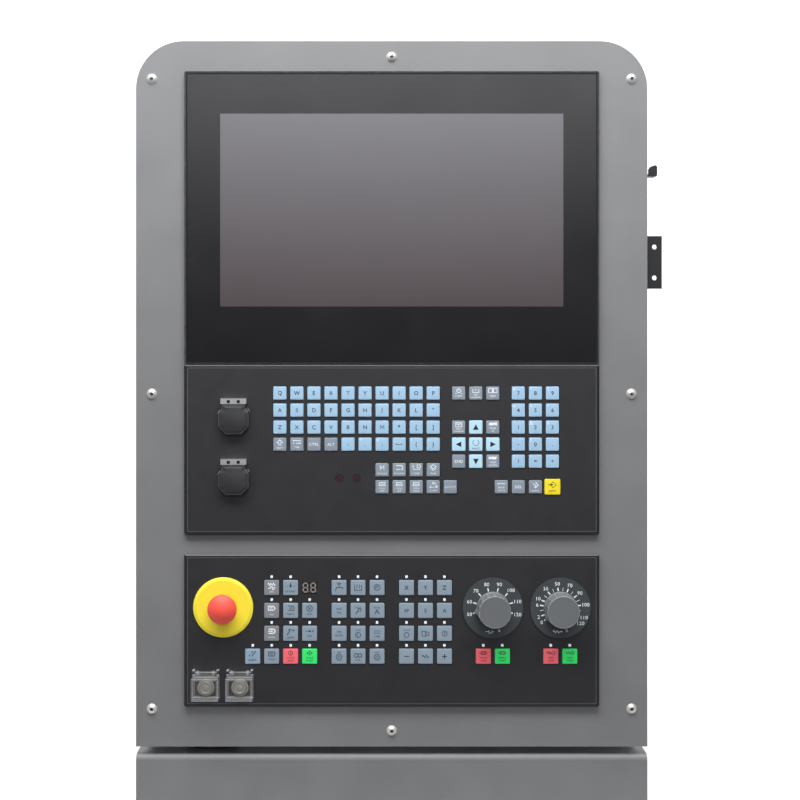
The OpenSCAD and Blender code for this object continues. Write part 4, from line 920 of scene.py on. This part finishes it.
machineMarks = [
    [["wave", -3.6, 3.6, 3.4, 1.2, 3, 0.8], ["line", [(-3.6, -0.6), (-1.4, -0.6), (-1.4, 0.9), (0.6, 0.9),
     (0.6, -1.6), (2.2, -1.6), (2.2, 0.2), (3.8, 0.2)], 0.8], ["word", "JOG", -4.3, 2.2]],
    [["arrow", 0, 5.2, 0, 2.0], ["line", [(-4.4, 1.6), (4.4, 1.6)], 0.6], ["disc", 0, 1.6, 1.2],
     ["word", "REF POINT", -3.6, 2.0]],
    [["line", [(-3.8, -3.4), (-2.6, 0.2), (3.6, 0.2), (3.6, -1.2)], 0.7], ["line", [(0, 0.2), (0, 3.6)], 0.7],
     ["line", [(-2.2, 3.8), (2.2, 3.8)], 0.7], ["arc", 0, 3.8, 1.4, 0, 180, 0.5]],
    [["line", [(-3.6, 3.2), (-3.6, -2.6), (3.6, -2.6), (3.6, 3.2)], 0.6],
     ["line", [(-1.2, 3.2), (-1.2, -0.8)], 0.6], ["line", [(1.2, 3.2), (1.2, -0.8)], 0.6]],
    [["ring", 0, 0.4, 3.0, 0.6], ["arc", 0, 0.4, 1.5, 20, 220, 0.6], ["disc", 0, 0.4, 0.6]],
    *[[["word", axis, 0, 6.0]] for axis in "XYZ"],
    [["line", [(-3.2, 0.4), (2.0, 0.4), (3.5, 2.4), (2.0, 4.4), (-3.2, 4.4)], 1.0, True],
     ["line", [(-1.9, 3.1), (1.0, 3.1)], 0.7], ["line", [(-1.9, 1.7), (1.0, 1.7)], 0.7],
     ["word", "MDI", -4.0, 2.2]],
    [["line", [(-2.6, 4.6), (2.4, 4.6), (3.4, 3.4), (3.4, 0.4), (-2.6, 0.4)], 0.7],
     ["line", [(-1.2, 2.6), (1.2, 2.6)]], ["line", [(1.2, 3.6), (0.2, 1.4)]], ["word", "TEACH", -3.4, 2.1]],
    [["ring", 0, 2.2, 2.9, 0.6], ["disc", 0, 2.2, 0.8], ["line", [(-2.0, 4.2), (2.0, 0.2)], 0.4],
     ["line", [(-2.0, 0.2), (2.0, 4.2)], 0.4], ["word", "STEP", -3.6, 2.1]],
    [["word", "AUX", 1.8, 2.6], ["word", "ON", -1.9, 2.6]],
    [["word", "TOOL", 3.0, 2.3], ["line", [(-2.6, -3.4), (0.6, 0.4)], 0.9],
     ["arc", 1.6, 0.6, 1.5, -60, 300, 0.7]],
    [["word", "TOOL", 3.0, 2.3], ["line", [(-2.4, -3.6), (0, 1.0), (2.4, -3.6)], 0.7],
     ["line", [(-1.4, -1.8), (1.4, -1.8)]]],
    [["word", "SP", 0, 4.6]],
    [["word", "5", 0, 5.4]],
    [["word", "A", 0, 5.4]],
    [["line", [(-3, 4.4), (2.2, 4.4), (3.4, 3.2), (3.4, 1.4), (2.2, 0.2), (-3, 0.2)], 1.1],
     ["arrow", -3.4, 2.3, 1.8, 2.3, 2.0, 1.0], ["word", "AUTO", -3.8, 2.2]],
    [["line", [(-3.6, -1.4), (-1.0, 2.2), (-1.8, 3.8), (0.6, 4.4)], 0.8], ["arrow", 0.8, 3.2, 4.2, 3.2],
     ["word", "REPOS", -4.0, 2.1]],
    [["arrow", -4.2, 2.4, 1.6, 2.4, 1.6], ["disc", 0.2, 2.4, 1.0], ["line", [(2.4, 2.4), (4.2, 2.4)], 0.5],
     ["line", [(3.2, 3.6), (3.2, 1.2)]], ["word", "SKIP", -2.4, 2.3]],
    [["word", "AIR", 1.8, 2.6], ["word", "BLOW", -1.9, 2.4]],
    [["word", "CHIP", 3.2, 2.2], ["ring", 0, -1.4, 2.6, 0.6], ["arc", 0, -1.4, 1.2, 90, 200, 0.6]],
    [["line", [(-3.4, 2.6), (3.4, 2.6)], 0.6], ["line", [(-3.4, 0.4), (3.4, 0.4)], 0.6],
     ["word", "LUBE", -2.8, 2.3]],
    [["word", "DOOR", 3.2, 2.1], ["ring", 0, -1.4, 2.4, 0.6]],
    [["box", -3.6, -2.6, 0.4, 2.2, 0.6], ["ring", 1.8, -0.2, 1.8, 0.6]],
    [["ring", 0, 0, 2.6, 0.6], ["arrow", 0, -1.6, 0, 2.0, 1.4]],
    [["line", [(-3, 4.4), (2.4, 4.4), (3.6, 2.4), (2.4, 0.4), (-3, 0.4)], 0.8, True],
     ["line", [(-1.6, 3.2), (1.4, 3.2)]], ["line", [(-1.6, 1.6), (1.4, 1.6)]], ["word", "SINGLE", -2.8, 2.0]],
    [["word", "GO", 4.0, 2.2], ["gear", 0, -0.8, 3.2]],
    [["ring", -1.9, 1.0, 1.9, 0.7], ["ring", 1.9, 1.0, 1.9, 0.7], ["word", "LINK", -3.6, 2.2]],
    [["word", "HALT", 4.0, 2.1], ["gear", 0, -0.8, 3.2]],
    [["line", [(-2.4, 0), (2.4, 0)], 0.9]],
    [["wave", -3.4, 3.4, 0, 1.2, 2, 0.7]],
    [["line", [(-2.4, 0), (2.4, 0)], 0.9], ["line", [(0, -2.4), (0, 2.4)], 0.9]],
]
whiteMachineKeys = (0, 8, 17)  # the three mode keys at the left have white marks on a greyer cap


# Fixed keys

def addKeyField(node, material, marks, inkName, capsName):
    boxes = solidsOf(node)
    caps = addPiece(capsName, growCaps(boxes, finish[material], smallCap), "console")
    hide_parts(node)
    addMarks(capsName + "Marks", list(zip(boxes, marks)), "console", finish[inkName])


letterKeys = (  # node, marks, second signs and the names of their pieces
    ("letter_keys", letterMarks, "letterCaps", signMarks, "signMarks"),
    ("number_keys", numberMarks, "numberCaps", numberSigns, "numberSigns"))
for node, marks, capsName, signs, signsName in letterKeys:
    addKeyField(node, "letterBlue", [letterStrokes(c) for c in marks], "inkDark", capsName)
    rows = [(box, signStrokes(text)) for box, text in zip(solidsOf(node)[-len(signs):], signs)]
    addMarks(signsName, rows, "console", finish["inkWhite"])
addKeyField("function_keys", "functionGrey", functionMarks, "inkWhite", "functionCaps")

machineBoxes = solidsOf("machine_keys")
for capsName, material, inkName, white in (("machineCaps", "machineBlue", "inkDark", False),
                                           ("modeCaps", "machineGrey", "inkWhite", True)):
    chosen = [i for i in range(len(machineBoxes)) if (i in whiteMachineKeys) == white]
    mesh = growCaps([machineBoxes[i] for i in chosen], finish[material])
    caps = addPiece(capsName, mesh, "console")
    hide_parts("machine_keys")
    rows = [(machineBoxes[i], machineMarks[i]) for i in chosen]
    addMarks(capsName + "Marks", rows, "console", finish[inkName])
print("fixed keys:", len(solidsOf("letter_keys")), len(solidsOf("function_keys")), len(machineBoxes))


# Keys that move

startStrokes = [["line", [(-2.6, 3.4), (0, 5.4), (2.6, 3.4), (0, 1.4)], 0.6, True],
                ["line", [(0, 2.4), (0, 4.4)]]]
stopStrokes = [["ring", 0, 3.4, 2.1, 0.6], ["disc", 0, 3.4, 0.7]]
spindleStrokes = [["line", [(-4.4, 3.4), (4.4, 3.4)]], ["box", -2.2, 2.0, 2.2, 4.8]]
feedStrokes = [["wave", -4.2, 0.6, 3.4, 1.1, 2, 0.55]]
feedStart = ["line", [(1.0, 3.4), (2.7, 5.1), (4.4, 3.4), (2.7, 1.7)], 0.55, True]
feedStop = ["ring", 2.6, 3.4, 1.5, 0.55]


def labelled(strokes, first, second, size=2.2):
    # an icon with two words below it
    return strokes + [["word", first, -1.4, size], ["word", second, -4.3, 2.2]]


cursorKey = ("cursorBlue", "cursor_key", "inkBlack")  # finish, slot and ink of a cap
stopKey = ("keyRed", "red_key", "inkDark")
startKey = ("keyGreen", "green_key", "inkDark")
movingKeys = {  # finish, slot, ink and marks of each cap
    "input_key": ("keyYellow", "yellow_key", "inkDark", [
        ["line", [(-2.4, 2.2), (0.6, 5.2), (3.6, 2.2), (0.6, -0.8)], 0.5, True],
        ["arrow", -4.2, 2.2, 0.8, 2.2, 1.7], ["word", "INPUT", -4.2, 2.6]]),
    "up_key": (*cursorKey, [["area", [(-2.8, -2.5), (2.8, -2.5), (0, 3.0)]]]),
    "left_key": (*cursorKey, [["area", [(2.5, -2.8), (2.5, 2.8), (-3.0, 0)]]]),
    "select_key": ("cursorBlue", "cursor_key", "inkDark", [
        ["arc", 0, 1.6, 3.0, 125, 290, 0.45], ["word", "SELECT", -4.1, 2.2]]),
    "right_key": (*cursorKey, [["area", [(-2.5, -2.8), (3.0, 0), (-2.5, 2.8)]]]),
    "down_key": (*cursorKey, [["area", [(-2.8, 2.5), (0, -3.0), (2.8, 2.5)]]]),
    "reset_key": ("resetBlue", "letter_key", "inkDark", [
        ["line", [(-3.6, 0.2), (0.2, 5.4)], 0.9], ["line", [(-0.6, 0.2), (3.2, 5.4)], 0.9],
        ["word", "RESET", -3.6, 2.8]]),
    "cycle_stop_key": (*stopKey, labelled(stopStrokes, "CYCLE", "STOP")),
    "cycle_start_key": (*startKey, labelled(startStrokes, "CYCLE", "START")),
    "spindle_stop_key": (*stopKey, labelled(spindleStrokes, "SPINDLE", "STOP", 2.0)),
    "spindle_start_key": (*startKey, labelled(spindleStrokes, "SPINDLE", "START", 2.0)),
    "feed_stop_key": (*stopKey, labelled([*feedStrokes, feedStop], "FEED", "STOP")),
    "feed_start_key": (*startKey, labelled([*feedStrokes, feedStart], "FEED", "START")),
}
flange = {"thick": 1.0}  # the catch behind the front, in mm


def addFlange(mesh, node):
    # the plate behind the front that holds the key, joined to its cap
    low, high = panelBox(node)
    bm = bmesh.new()
    bm.from_mesh(mesh)
    made = bmesh.ops.create_cube(bm, size=1.0)["verts"]
    for vert in made:
        side = [low[a] if vert.co[a] < 0 else high[a] for a in range(2)]
        depth = low.z if vert.co.z < 0 else low.z + flange["thick"]
        vert.co = panelFrame @ Vector((*side, depth))
    bm.to_mesh(mesh)
    bm.free()


for node, (material, slot, inkName, strokes) in movingKeys.items():
    box = topFace(node)
    mesh = growCaps([box], finish[material])
    addFlange(mesh, node)
    piece = addPiece(node + "Cap", mesh, node)
    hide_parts(node)
    addMarks(node + "Marks", [(box, strokes)], node, finish[inkName])
print("moving keys:", len(movingKeys))


# Lamp windows and digits of the machine control unit

lampShape = {"corner": 0.5, "edge": 0.2, "crown": 0.05, "foot": 1.0, "inset": 0.3}
windowShape = {**lampShape, "inset": 0.0}
lampMesh = growCaps(solidsOf("led_lenses"), finish["lampWhite"], lampShape)
lamps = addPiece("lampWindows", lampMesh, "console")
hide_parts("led_lenses")

digits = {"wide": 5.8, "tall": 10.0, "bar": 1.4, "gap": 0.16, "apart": 7.7, "dot": 0.5, "dotAway": 0.55,
          "left": 0.3}


def addDigits():
    low, high = panelBox("digit_display")
    place = middle((low, high))
    glass = growCaps([(low, high)], finish["digitGlass"], windowShape)
    window = addPiece("digitWindow", glass, "console")
    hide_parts("digit_display")
    bar = digits["bar"] / 2
    half, rise = digits["wide"] / 2 - bar, digits["tall"] / 2 - bar
    bm = bmesh.new()
    for side in (-0.5, 0.5):
        ends = [((-half, y), (half, y)) for y in (-rise, 0, rise)]
        ends += [((x, y), (x, y + rise)) for x in (-half, half) for y in (-rise, 0)]
        for a, b in ends:
            start, end = Vector(a), Vector(b)
            along = (end - start).normalized()
            start, end = start + along * digits["gap"], end - along * digits["gap"]
            across = Vector((-along.y, along.x)) * bar
            tip = along * bar
            outline = [start, start + tip + across, end - tip + across, end, end - tip - across,
                       start + tip - across]
            drawArea(bm, [(p.x + side * digits["apart"], p.y) for p in outline])
        drawDisc(bm, side * digits["apart"] + half + bar + digits["dotAway"], -rise, digits["dot"])
    bmesh.ops.translate(bm, verts=bm.verts, vec=(place.x - digits["left"], place.y, high.z))
    addPiece("digitBars", meshFrom(bm), "console", finish["digitBar"])


addDigits()
print("lamps and digits done")


# Scales of the two override dials

dialScales = {
    "spindle": {"knob": "spindle_knob", "start": -105.0, "step": 30.0,
                "numbers": ["50", "60", "70", "80", "90", "100", "110", "120"],
                "symbol": [["line", [(-7.5, 0), (-4, 0)], 0.7], ["line", [(-1, 0), (1, 0)], 0.7],
                           ["line", [(-4, 1.5), (-4, -1.5), (-1, -1.5), (-1, 1.5)], 0.7]]},
    "feed": {"knob": "feed_knob", "start": -127.5, "step": 15.0,
             "numbers": ["0", "2", "", "6", "10", "", "30", "", "50", "", "70", "", "90", "", "100", "",
                         "110", "120"],
             "symbol": [["wave", -7.5, -1.0, 0, 1.3, 2, 0.7], ["arrow", -0.8, 0, 2.2, 0, 1.6, 0.7]]},
}
percent = ["word", "%", 0.8, 3.6, 6.2]
dialLook = {"inner": 17.0, "outer": 20.6, "thick": 1.25, "fine": 0.45, "numberAt": 24.4, "numberSize": 5.0,
            "digitAway": 0.9, "symbolAt": 23.6, "rise": 0.08, "bold": 0.008}


def addScale(name, scale, dial):
    place = middle(dial)
    top = dial[1].z
    bm = bmesh.new()
    for command, *rest in (*scale["symbol"], percent):
        pens[command](bm, *rest)
    bmesh.ops.translate(bm, verts=bm.verts, vec=(0, -dialLook["symbolAt"], 0))
    for i, number in enumerate(scale["numbers"]):
        a = math.radians(scale["start"] + i * scale["step"])
        x, y = math.sin(a), math.cos(a)
        if number:
            reach = dialLook["numberAt"] + dialLook["digitAway"] * (len(number) - 2) * abs(x)
            drawWord(bm, number, y * reach, dialLook["numberSize"], x * reach, dialLook["bold"])
    bmesh.ops.translate(bm, verts=bm.verts, vec=(place.x, place.y, top))
    addPiece(name + "Numbers", meshFrom(bm), "console", finish["inkWhite"])
    for label, chosen, width in (("Marks", True, dialLook["thick"]), ("FineMarks", False, dialLook["fine"])):
        spots = [i for i, number in enumerate(scale["numbers"]) if bool(number) == chosen]
        joined = bmesh.new()
        for i in spots:
            ticks = grow(tickTree, [(0, 0, 0)], {
                "Count": 1, "Start": scale["start"] + i * scale["step"], "Step": scale["step"],
                "Radius": (dialLook["inner"] + dialLook["outer"]) / 2,
                "Length": dialLook["outer"] - dialLook["inner"], "Width": width, "Depth": dialLook["rise"],
                "Finish": finish["inkWhite"]})
            ticks.transform(Matrix.Translation(panelFrame.to_3x3() @ Vector((place.x, place.y, top))))
            joined.from_mesh(ticks)
        if spots:
            mesh = bpy.data.meshes.new("ticks")
            joined.to_mesh(mesh)
            addPiece(name + label, mesh, "console", finish["inkWhite"])
        joined.free()


for (name, scale), dial in zip(dialScales.items(), solidsOf("override_dials")):
    addScale(name, scale, dial)
print("dial scales done")


# Shapes with walls: lofts of an outline, and blocks with pockets

def insetOutline(points, depth):
    # moves every side of a closed outline, drawn clockwise, inwards by depth
    path = [Vector(p) for p in points]
    moved = []
    for i, point in enumerate(path):
        first = (point - path[i - 1]).normalized()
        second = (path[(i + 1) % len(path)] - point).normalized()
        normals = Vector((first.y, -first.x)), Vector((second.y, -second.x))
        bisector = (normals[0] + normals[1]).normalized()
        moved.append(point + bisector * depth / bisector.dot(normals[0]))
    return moved


def roundOutline(points, radius, steps=4, most=2.2):
    # replaces every corner by a small curve, which takes up less than half of a side
    path = [Vector(p) for p in points]
    smooth = []
    for i, point in enumerate(path):
        before, after = path[i - 1] - point, path[(i + 1) % len(path)] - point
        reach = min(radius, before.length / most, after.length / most)
        start, end = point + before.normalized() * reach, point + after.normalized() * reach
        for k in range(steps + 1):
            t = k / steps
            smooth.append(start * (1 - t) ** 2 + point * 2 * t * (1 - t) + end * t * t)
    return smooth


def loftRings(bm, rings):
    # walls between rings of equal length, closed at both ends
    rows = [[bm.verts.new(p) for p in ring] for ring in rings]
    count = len(rows[0])
    for low, high in zip(rows, rows[1:]):
        for i in range(count):
            j = (i + 1) % count
            bm.faces.new((low[i], low[j], high[j], high[i]))
    bm.faces.new(rows[0])
    bm.faces.new(rows[-1])
    return rows


def pocketBlock(bm, xs, ys, low, high, pockets=(), floor=0.0):
    # a block with square pockets in its front: pockets names cells of the grid xs by ys
    def height(i, j):
        if i < 0 or j < 0 or i >= len(xs) - 1 or j >= len(ys) - 1:
            return low
        return floor if (i, j) in pockets else high

    corners = {}

    def corner(x, y, z):
        if (x, y, z) not in corners:
            corners[(x, y, z)] = bm.verts.new((x, y, z))
        return corners[(x, y, z)]

    for i in range(len(xs) - 1):
        for j in range(len(ys) - 1):
            square = ((xs[i], ys[j]), (xs[i + 1], ys[j]), (xs[i + 1], ys[j + 1]), (xs[i], ys[j + 1]))
            top = bm.faces.new([corner(x, y, height(i, j)) for x, y in square])
            top.material_index = 1 if (i, j) in pockets else 0
            bm.faces.new([corner(x, y, low) for x, y in reversed(square)])
            for k, (ni, nj) in enumerate(((i, j - 1), (i + 1, j), (i, j + 1), (i - 1, j))):
                there = height(ni, nj)
                if there < height(i, j):
                    (xa, ya), (xb, yb) = square[k], square[(k + 1) % 4]
                    bm.faces.new((corner(xa, ya, there), corner(xb, yb, there), corner(xb, yb, height(i, j)),
                                  corner(xa, ya, height(i, j))))


# Hinged lids of the two service ports, their hinges and springs

lid = {"neck": 11.5, "half": 15.3, "tip": 7.8, "above": 3.0, "shoulder": (-1.6, -5.0), "corner": -19.2,
       "end": -26.8, "round": 1.2, "thick": 5.0, "highlightRing": 3}  # heights from the hinge's axis, in mm
lidRings = [(0.4, 0.0), (0.0, 0.4), (0.0, 3.9), (0.35, 4.35), (0.8, 4.45), (2.3, 4.5), (2.7, 4.8),
            (3.2, 5.0)]  # inset of each ring of its wall, and height above its back
hinge = {"half": 12.8, "tall": 5.4, "above": 0.4, "pocket": 3.1, "pocketUp": 0.8, "apart": 9.9, "deep": 3.0,
         "front": 0.3, "ear": 1.1, "earDrop": 1.4, "earUp": 0.5, "earFront": 1.8}
spring = {"wire": 0.8, "back": 0.6, "sink": 0.5, "rise": 0.3,
          "bars": [((12.25, -1.1), (14.35, -4.7)), ((14.2, -0.4), (16.1, -3.8)),
                   ((-15.4, -6.0), (-13.0, -2.5))]}  # ends of the straight stretches that show


def lidOutline():
    neck, half = lid["neck"], lid["half"]
    right = [(neck, lid["above"]), (neck, lid["shoulder"][0]), (half, lid["shoulder"][1]),
             (half, lid["corner"]), (lid["tip"], lid["end"])]
    return right + [(-x, y) for x, y in reversed(right)]


def addLid(node):
    low, high = panelBox(node)
    place = Vector(((low.x + high.x) / 2, high.y - lid["thick"] / 2))  # on the axis of the hinge
    back = high.z - lid["thick"]
    bm = bmesh.new()
    paintedHighlight = bm.verts.layers.float.new("paintedHighlight")
    rings = []
    for inset, rise in lidRings:
        ring = roundOutline(insetOutline(lidOutline(), inset), lid["round"])
        rings.append([(place.x + p.x, place.y + p.y, back + rise) for p in ring])
    # one ring near the front edge is paler: a painted highlight
    for vert in loftRings(bm, rings)[lid["highlightRing"]]:
        vert[paintedHighlight] = 1.0
    piece = addPiece(node + "Cover", meshFrom(bm), node, finish["lidBlack"])
    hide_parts(node)
    bm = bmesh.new()
    for start, end in spring["bars"]:
        drawLine(bm, [place + Vector(start), place + Vector(end)], spring["wire"])
    for vert in bm.verts:
        vert.co.z = high.z - spring["back"] + (spring["rise"] if vert.co.z > 0 else -spring["sink"])
    addPiece(node + "Spring", meshFrom(bm), node, finish["brightSteel"])
    return place, high.z


def addHinges(places):
    base = panelBox("port_hinges")[0].z
    bm = bmesh.new()
    ears = bmesh.new()
    for place, top in places:
        block = place.y + lid["above"] + hinge["above"]
        side, reach = hinge["apart"] / 2, hinge["pocket"] / 2
        xs = [-hinge["half"], -side - reach, -side + reach, side - reach, side + reach, hinge["half"]]
        ys = [0.0, hinge["pocketUp"], hinge["pocketUp"] + hinge["pocket"], hinge["tall"]]
        front = top - hinge["front"]
        pocketBlock(bm, [place.x + x for x in xs], [block + y for y in ys], base, front, {(1, 1), (3, 1)},
                    front - hinge["deep"])
        for side in (-1, 1):
            outer, inner = side * hinge["half"], side * (hinge["half"] - hinge["ear"])
            xs = sorted((place.x + outer, place.x + inner))
            ys = [place.y - hinge["earDrop"], block + hinge["earUp"]]
            pocketBlock(ears, xs, ys, base, top - hinge["earFront"])
    mesh = meshFrom(bm)
    mesh.materials.append(finish["hingeCasting"])
    # the pocket floors take this black: painted shade in the pockets
    mesh.materials.append(finish["inkBlack"])
    blocks = addPiece("portHingeBlocks", mesh, "console")
    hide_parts("port_hinges")
    addPiece("portHingeEars", meshFrom(ears), "console", finish["partBlack"])


addHinges([addLid(node) for node in ("upper_port_lid", "lower_port_lid")])
print("port lids done")


# Knobs of the override dials

knob = {"grips": 15, "steps": 12, "hollow": 0.3, "nose": 2.9, "noseHalf": 17.0, "shaft": 3.0, "lift": 0.3,
        "fluted": 0.9, "dull": 0.12}  # hollows from fluted on are paler on their ridges, a painted highlight, and take the dull share of it between
knobLevels = [  # height (from the foot, or the top where negative), inset, depth of the hollows, nose, painted highlight
    (0.0, 0.4, 0.0, 1.0, 0.0), (0.4, 0.0, 0.0, 1.0, 0.3), (2.4, 0.1, 0.0, 0.92, 0.3),
    (2.9, 0.3, 1.0, 0.88, 0.8), (9.0, 0.35, 1.0, 0.66, 0.8), (16.0, 0.4, 1.0, 0.40, 0.8),
    (-1.2, 0.45, 1.0, 0.16, 0.9), (-0.6, 0.5, 0.8, 0.10, 1.0), (-0.2, 0.7, 0.4, 0.08, 1.0),
    (-0.05, 1.0, 0.1, 0.05, 0.4), (-0.05, 1.4, 0.0, 0.0, 0.0), (-0.15, 1.8, 0.0, 0.0, 0.0),
    (-0.15, 2.4, 0.0, 0.0, 0.0)]


def addKnob(node, angle, dial):
    low, high = panelBox(node)
    place = middle(dial)
    radius = (high.y - low.y) / 2
    foot = dial[1].z + knob["lift"]
    count = knob["grips"] * knob["steps"]

    def circle(z, radiusAt):
        turns = [360.0 * i / count for i in range(count)]
        return [(place.x + radiusAt(i) * math.sin(math.radians(turn)),
                 place.y + radiusAt(i) * math.cos(math.radians(turn)), z) for i, turn in enumerate(turns)]

    def gripRadius(i, inset, hollow, nose):
        t = (i % knob["steps"]) / knob["steps"]
        away = abs((360.0 * i / count - angle + 180) % 360 - 180)
        point = max(0.0, 1 - away / knob["noseHalf"])
        flute = hollow * knob["hollow"] * 4 * t * (1 - t) * (1 - point)
        return radius - inset - flute + nose * knob["nose"] * point

    rings = [circle(z, lambda i: knob["shaft"]) for z in (low.z, foot)]
    for height, inset, hollow, nose, _ in knobLevels:
        z = foot + height if height >= 0 else high.z + height
        rings.append(circle(z, lambda i: gripRadius(i, inset, hollow, nose)))
    bm = bmesh.new()
    paintedHighlight = bm.verts.layers.float.new("paintedHighlight")
    # ridges and the top rim are made paler: a painted highlight
    for row, (_, _, hollow, _, pale) in zip(loftRings(bm, rings)[2:], knobLevels):
        for i, vert in enumerate(row):
            ridge = hollow < knob["fluted"] or i % knob["steps"] == 0
            vert[paintedHighlight] = pale if ridge else knob["dull"] * pale
    piece = addPiece(node + "Grip", meshFrom(bm), node, finish["knobGrey"], angle=28)
    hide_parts(node)


for scale, dial in zip(dialScales.values(), solidsOf("override_dials")):
    addKnob(scale["knob"], scale["start"], dial)
print("knobs done")


# Push-buttons behind the clear guards

button = {"turns": 36, "middle": 0.4, "rings": [
    (0.0, 0.8), (0.3, 0.2), (0.9, 0.0), (1.5, 0.15), (1.9, 0.6), (2.3, 0.6), (3.0, 0.35),
    (4.5, 0.1)]}  # each ring's inset from the rim and depth below the top, in mm


def addButton(node):
    low, high = panelBox(node)
    place = middle((low, high))
    r, top = (high.x - low.x) / 2, high.z
    rings = [(r - inset, top - depth) for inset, depth in button["rings"]]
    profile = [(r, low.z), *rings, (button["middle"], top)]
    bm = bmesh.new()
    loftRings(bm, [[(x, y, z) for x, y in arcPoints(place.x, place.y, r, turns=button["turns"])]
                   for r, z in profile])
    piece = addPiece(node + "Lens", meshFrom(bm), node, finish["buttonSilver"])
    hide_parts(node)


for node in ("left_button", "right_button"):
    addButton(node)
print("buttons done")


# Side hook with rounded corners

hook = {"tip": 3.2, "bend": 2.0, "tab": 9.5, "near": 0.1, "steps": 5, "flat": 1.0,
        "straight": 0.999}  # sizes in mm, flat in degrees


def addHook():
    bm = bmesh.new()
    bm.from_mesh(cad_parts["side_hook"].data)
    bmesh.ops.remove_doubles(bm, verts=bm.verts, dist=weld)
    bmesh.ops.dissolve_limit(bm, angle_limit=math.radians(hook["flat"]), verts=bm.verts, edges=bm.edges)
    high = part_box("side_hook")[1]
    runs = [(edge, (edge.verts[0].co - edge.verts[1].co).normalized()) for edge in bm.edges]
    across = [edge for edge, run in runs if abs(run.y) > hook["straight"]]
    outer = [edge for edge in across if edge.verts[0].co.x > high.x - hook["tab"] * mm]
    heights = [edge.verts[0].co.z for edge in outer]
    half, floor = (max(heights) + min(heights)) / 2, min(heights) + hook["near"] * mm
    tips = [edge for edge in outer if edge.verts[0].co.z > half]
    bends = [edge for edge in outer if edge.verts[0].co.z < floor
             and edge.verts[0].co.x > high.x - hook["near"] * mm]
    for edges, radius in ((tips, hook["tip"]), (bends, hook["bend"])):
        bmesh.ops.bevel(bm, geom=edges, offset=radius * mm, segments=hook["steps"], profile=0.5,
                        affect="EDGES", clamp_overlap=True)
    piece = addPiece("hookBent", meshFrom(bm, Matrix()), "console", finish["bracketBlack"])
    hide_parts("side_hook")
    print("hook done, corners rounded:", len(tips), len(bends))


addHook()


# Stage, lights and camera

stage = {"half": 1.5, "apron": -1.5, "front": -0.22, "back": 3.0, "top": 3.0, "bend": 1.6, "turns": 12,
         "below": 0.0005}  # sizes in m


def addStage(name, profile, bounces):
    # a white sheet along x; one that doesn't bounce is seen but lights nothing
    bm = bmesh.new()
    sides = (-stage["half"], stage["half"])
    rows = [[bm.verts.new((x, y, z - stage["below"])) for x in sides] for y, z in profile]
    for a, b in zip(rows, rows[1:]):
        face = bm.faces.new((a[0], a[1], b[1], b[0]))
        face.smooth = True
    mesh = bpy.data.meshes.new(name)
    bm.to_mesh(mesh)
    bm.free()
    mesh.materials.append(finish["studioWhite"])
    sheet = bpy.data.objects.new(name, mesh)
    sheet.visible_diffuse = sheet.visible_glossy = bounces
    scene.collection.objects.link(sheet)


def sweepProfile():
    # floor under the part that curves up into a backdrop
    bend, back = stage["bend"], stage["back"]
    profile = [(stage["front"], 0.0), (back - bend, 0.0)]
    for i in range(1, stage["turns"] + 1):
        a = math.pi / 2 * i / stage["turns"]
        profile.append((back - bend + bend * math.sin(a), bend - bend * math.cos(a)))
    return profile + [(back, stage["top"])]


white = (1.0, 1.0, 1.0)
lights = {  # place, aim, size, power and colour of each soft box
    "softTop": ((-0.1, -0.78, 1.72), (0, -0.1, 0.62), (1.9, 0.6), 42.0, (0.98, 0.985, 1.0)),
    "frontFill": ((0.1, -4.4, 1.9), (0, 0, 0.6), (2.6, 1.3), 35.0, (0.95, 0.955, 1.0)),
    "backWash": ((0, 0.9, 3.4), (0, 3.0, 1.2), (5.0, 1.6), 170.0, white),
}
ambient = {"light": 0.18, "backdrop": 1.0}  # dim as light, white to the camera
eye = {"place": (-0.0262, -1.595, 0.5626), "sensor": 36.0, "lens": 67.16, "shift": (0.043, -0.0825)}


def addLight(name, place, aim, size, power, colour):
    lamp = bpy.data.lights.new(name, "AREA")
    lamp.shape = "RECTANGLE"
    lamp.size, lamp.size_y = size
    lamp.energy = power
    lamp.color = colour
    holder = bpy.data.objects.new(name, lamp)
    holder.location = place
    holder.rotation_euler = (Vector(aim) - Vector(place)).to_track_quat("-Z", "Y").to_euler()
    scene.collection.objects.link(holder)


def addWorld():
    world = bpy.data.worlds.new("studio")
    world.use_nodes = True
    tree = world.node_tree
    background = tree.nodes["Background"]
    background.inputs["Color"].default_value = rgba(white)
    seen = addNode(tree, "ShaderNodeLightPath").outputs["Is Camera Ray"]
    strength = remap(tree, seen, low=ambient["light"], high=ambient["backdrop"])
    tree.links.new(strength, background.inputs["Strength"])
    scene.world = world
    scene.view_settings.view_transform = "Standard"


def addCamera():
    camera = bpy.data.cameras.new("camera")
    camera.sensor_width = eye["sensor"]
    camera.lens = eye["lens"]
    camera.shift_x, camera.shift_y = eye["shift"]
    camera.dof.use_dof = False
    holder = bpy.data.objects.new("camera", camera)
    holder.location = eye["place"]
    holder.rotation_euler = (math.pi / 2, 0, 0)
    scene.collection.objects.link(holder)
    scene.camera = holder


addStage("studioSweep", sweepProfile(), True)
addStage("studioApron", [(stage["apron"], 0.0), (stage["front"], 0.0)], False)
for name, values in lights.items():
    addLight(name, *values)
addWorld()
addCamera()
print("stage, lights and camera set")
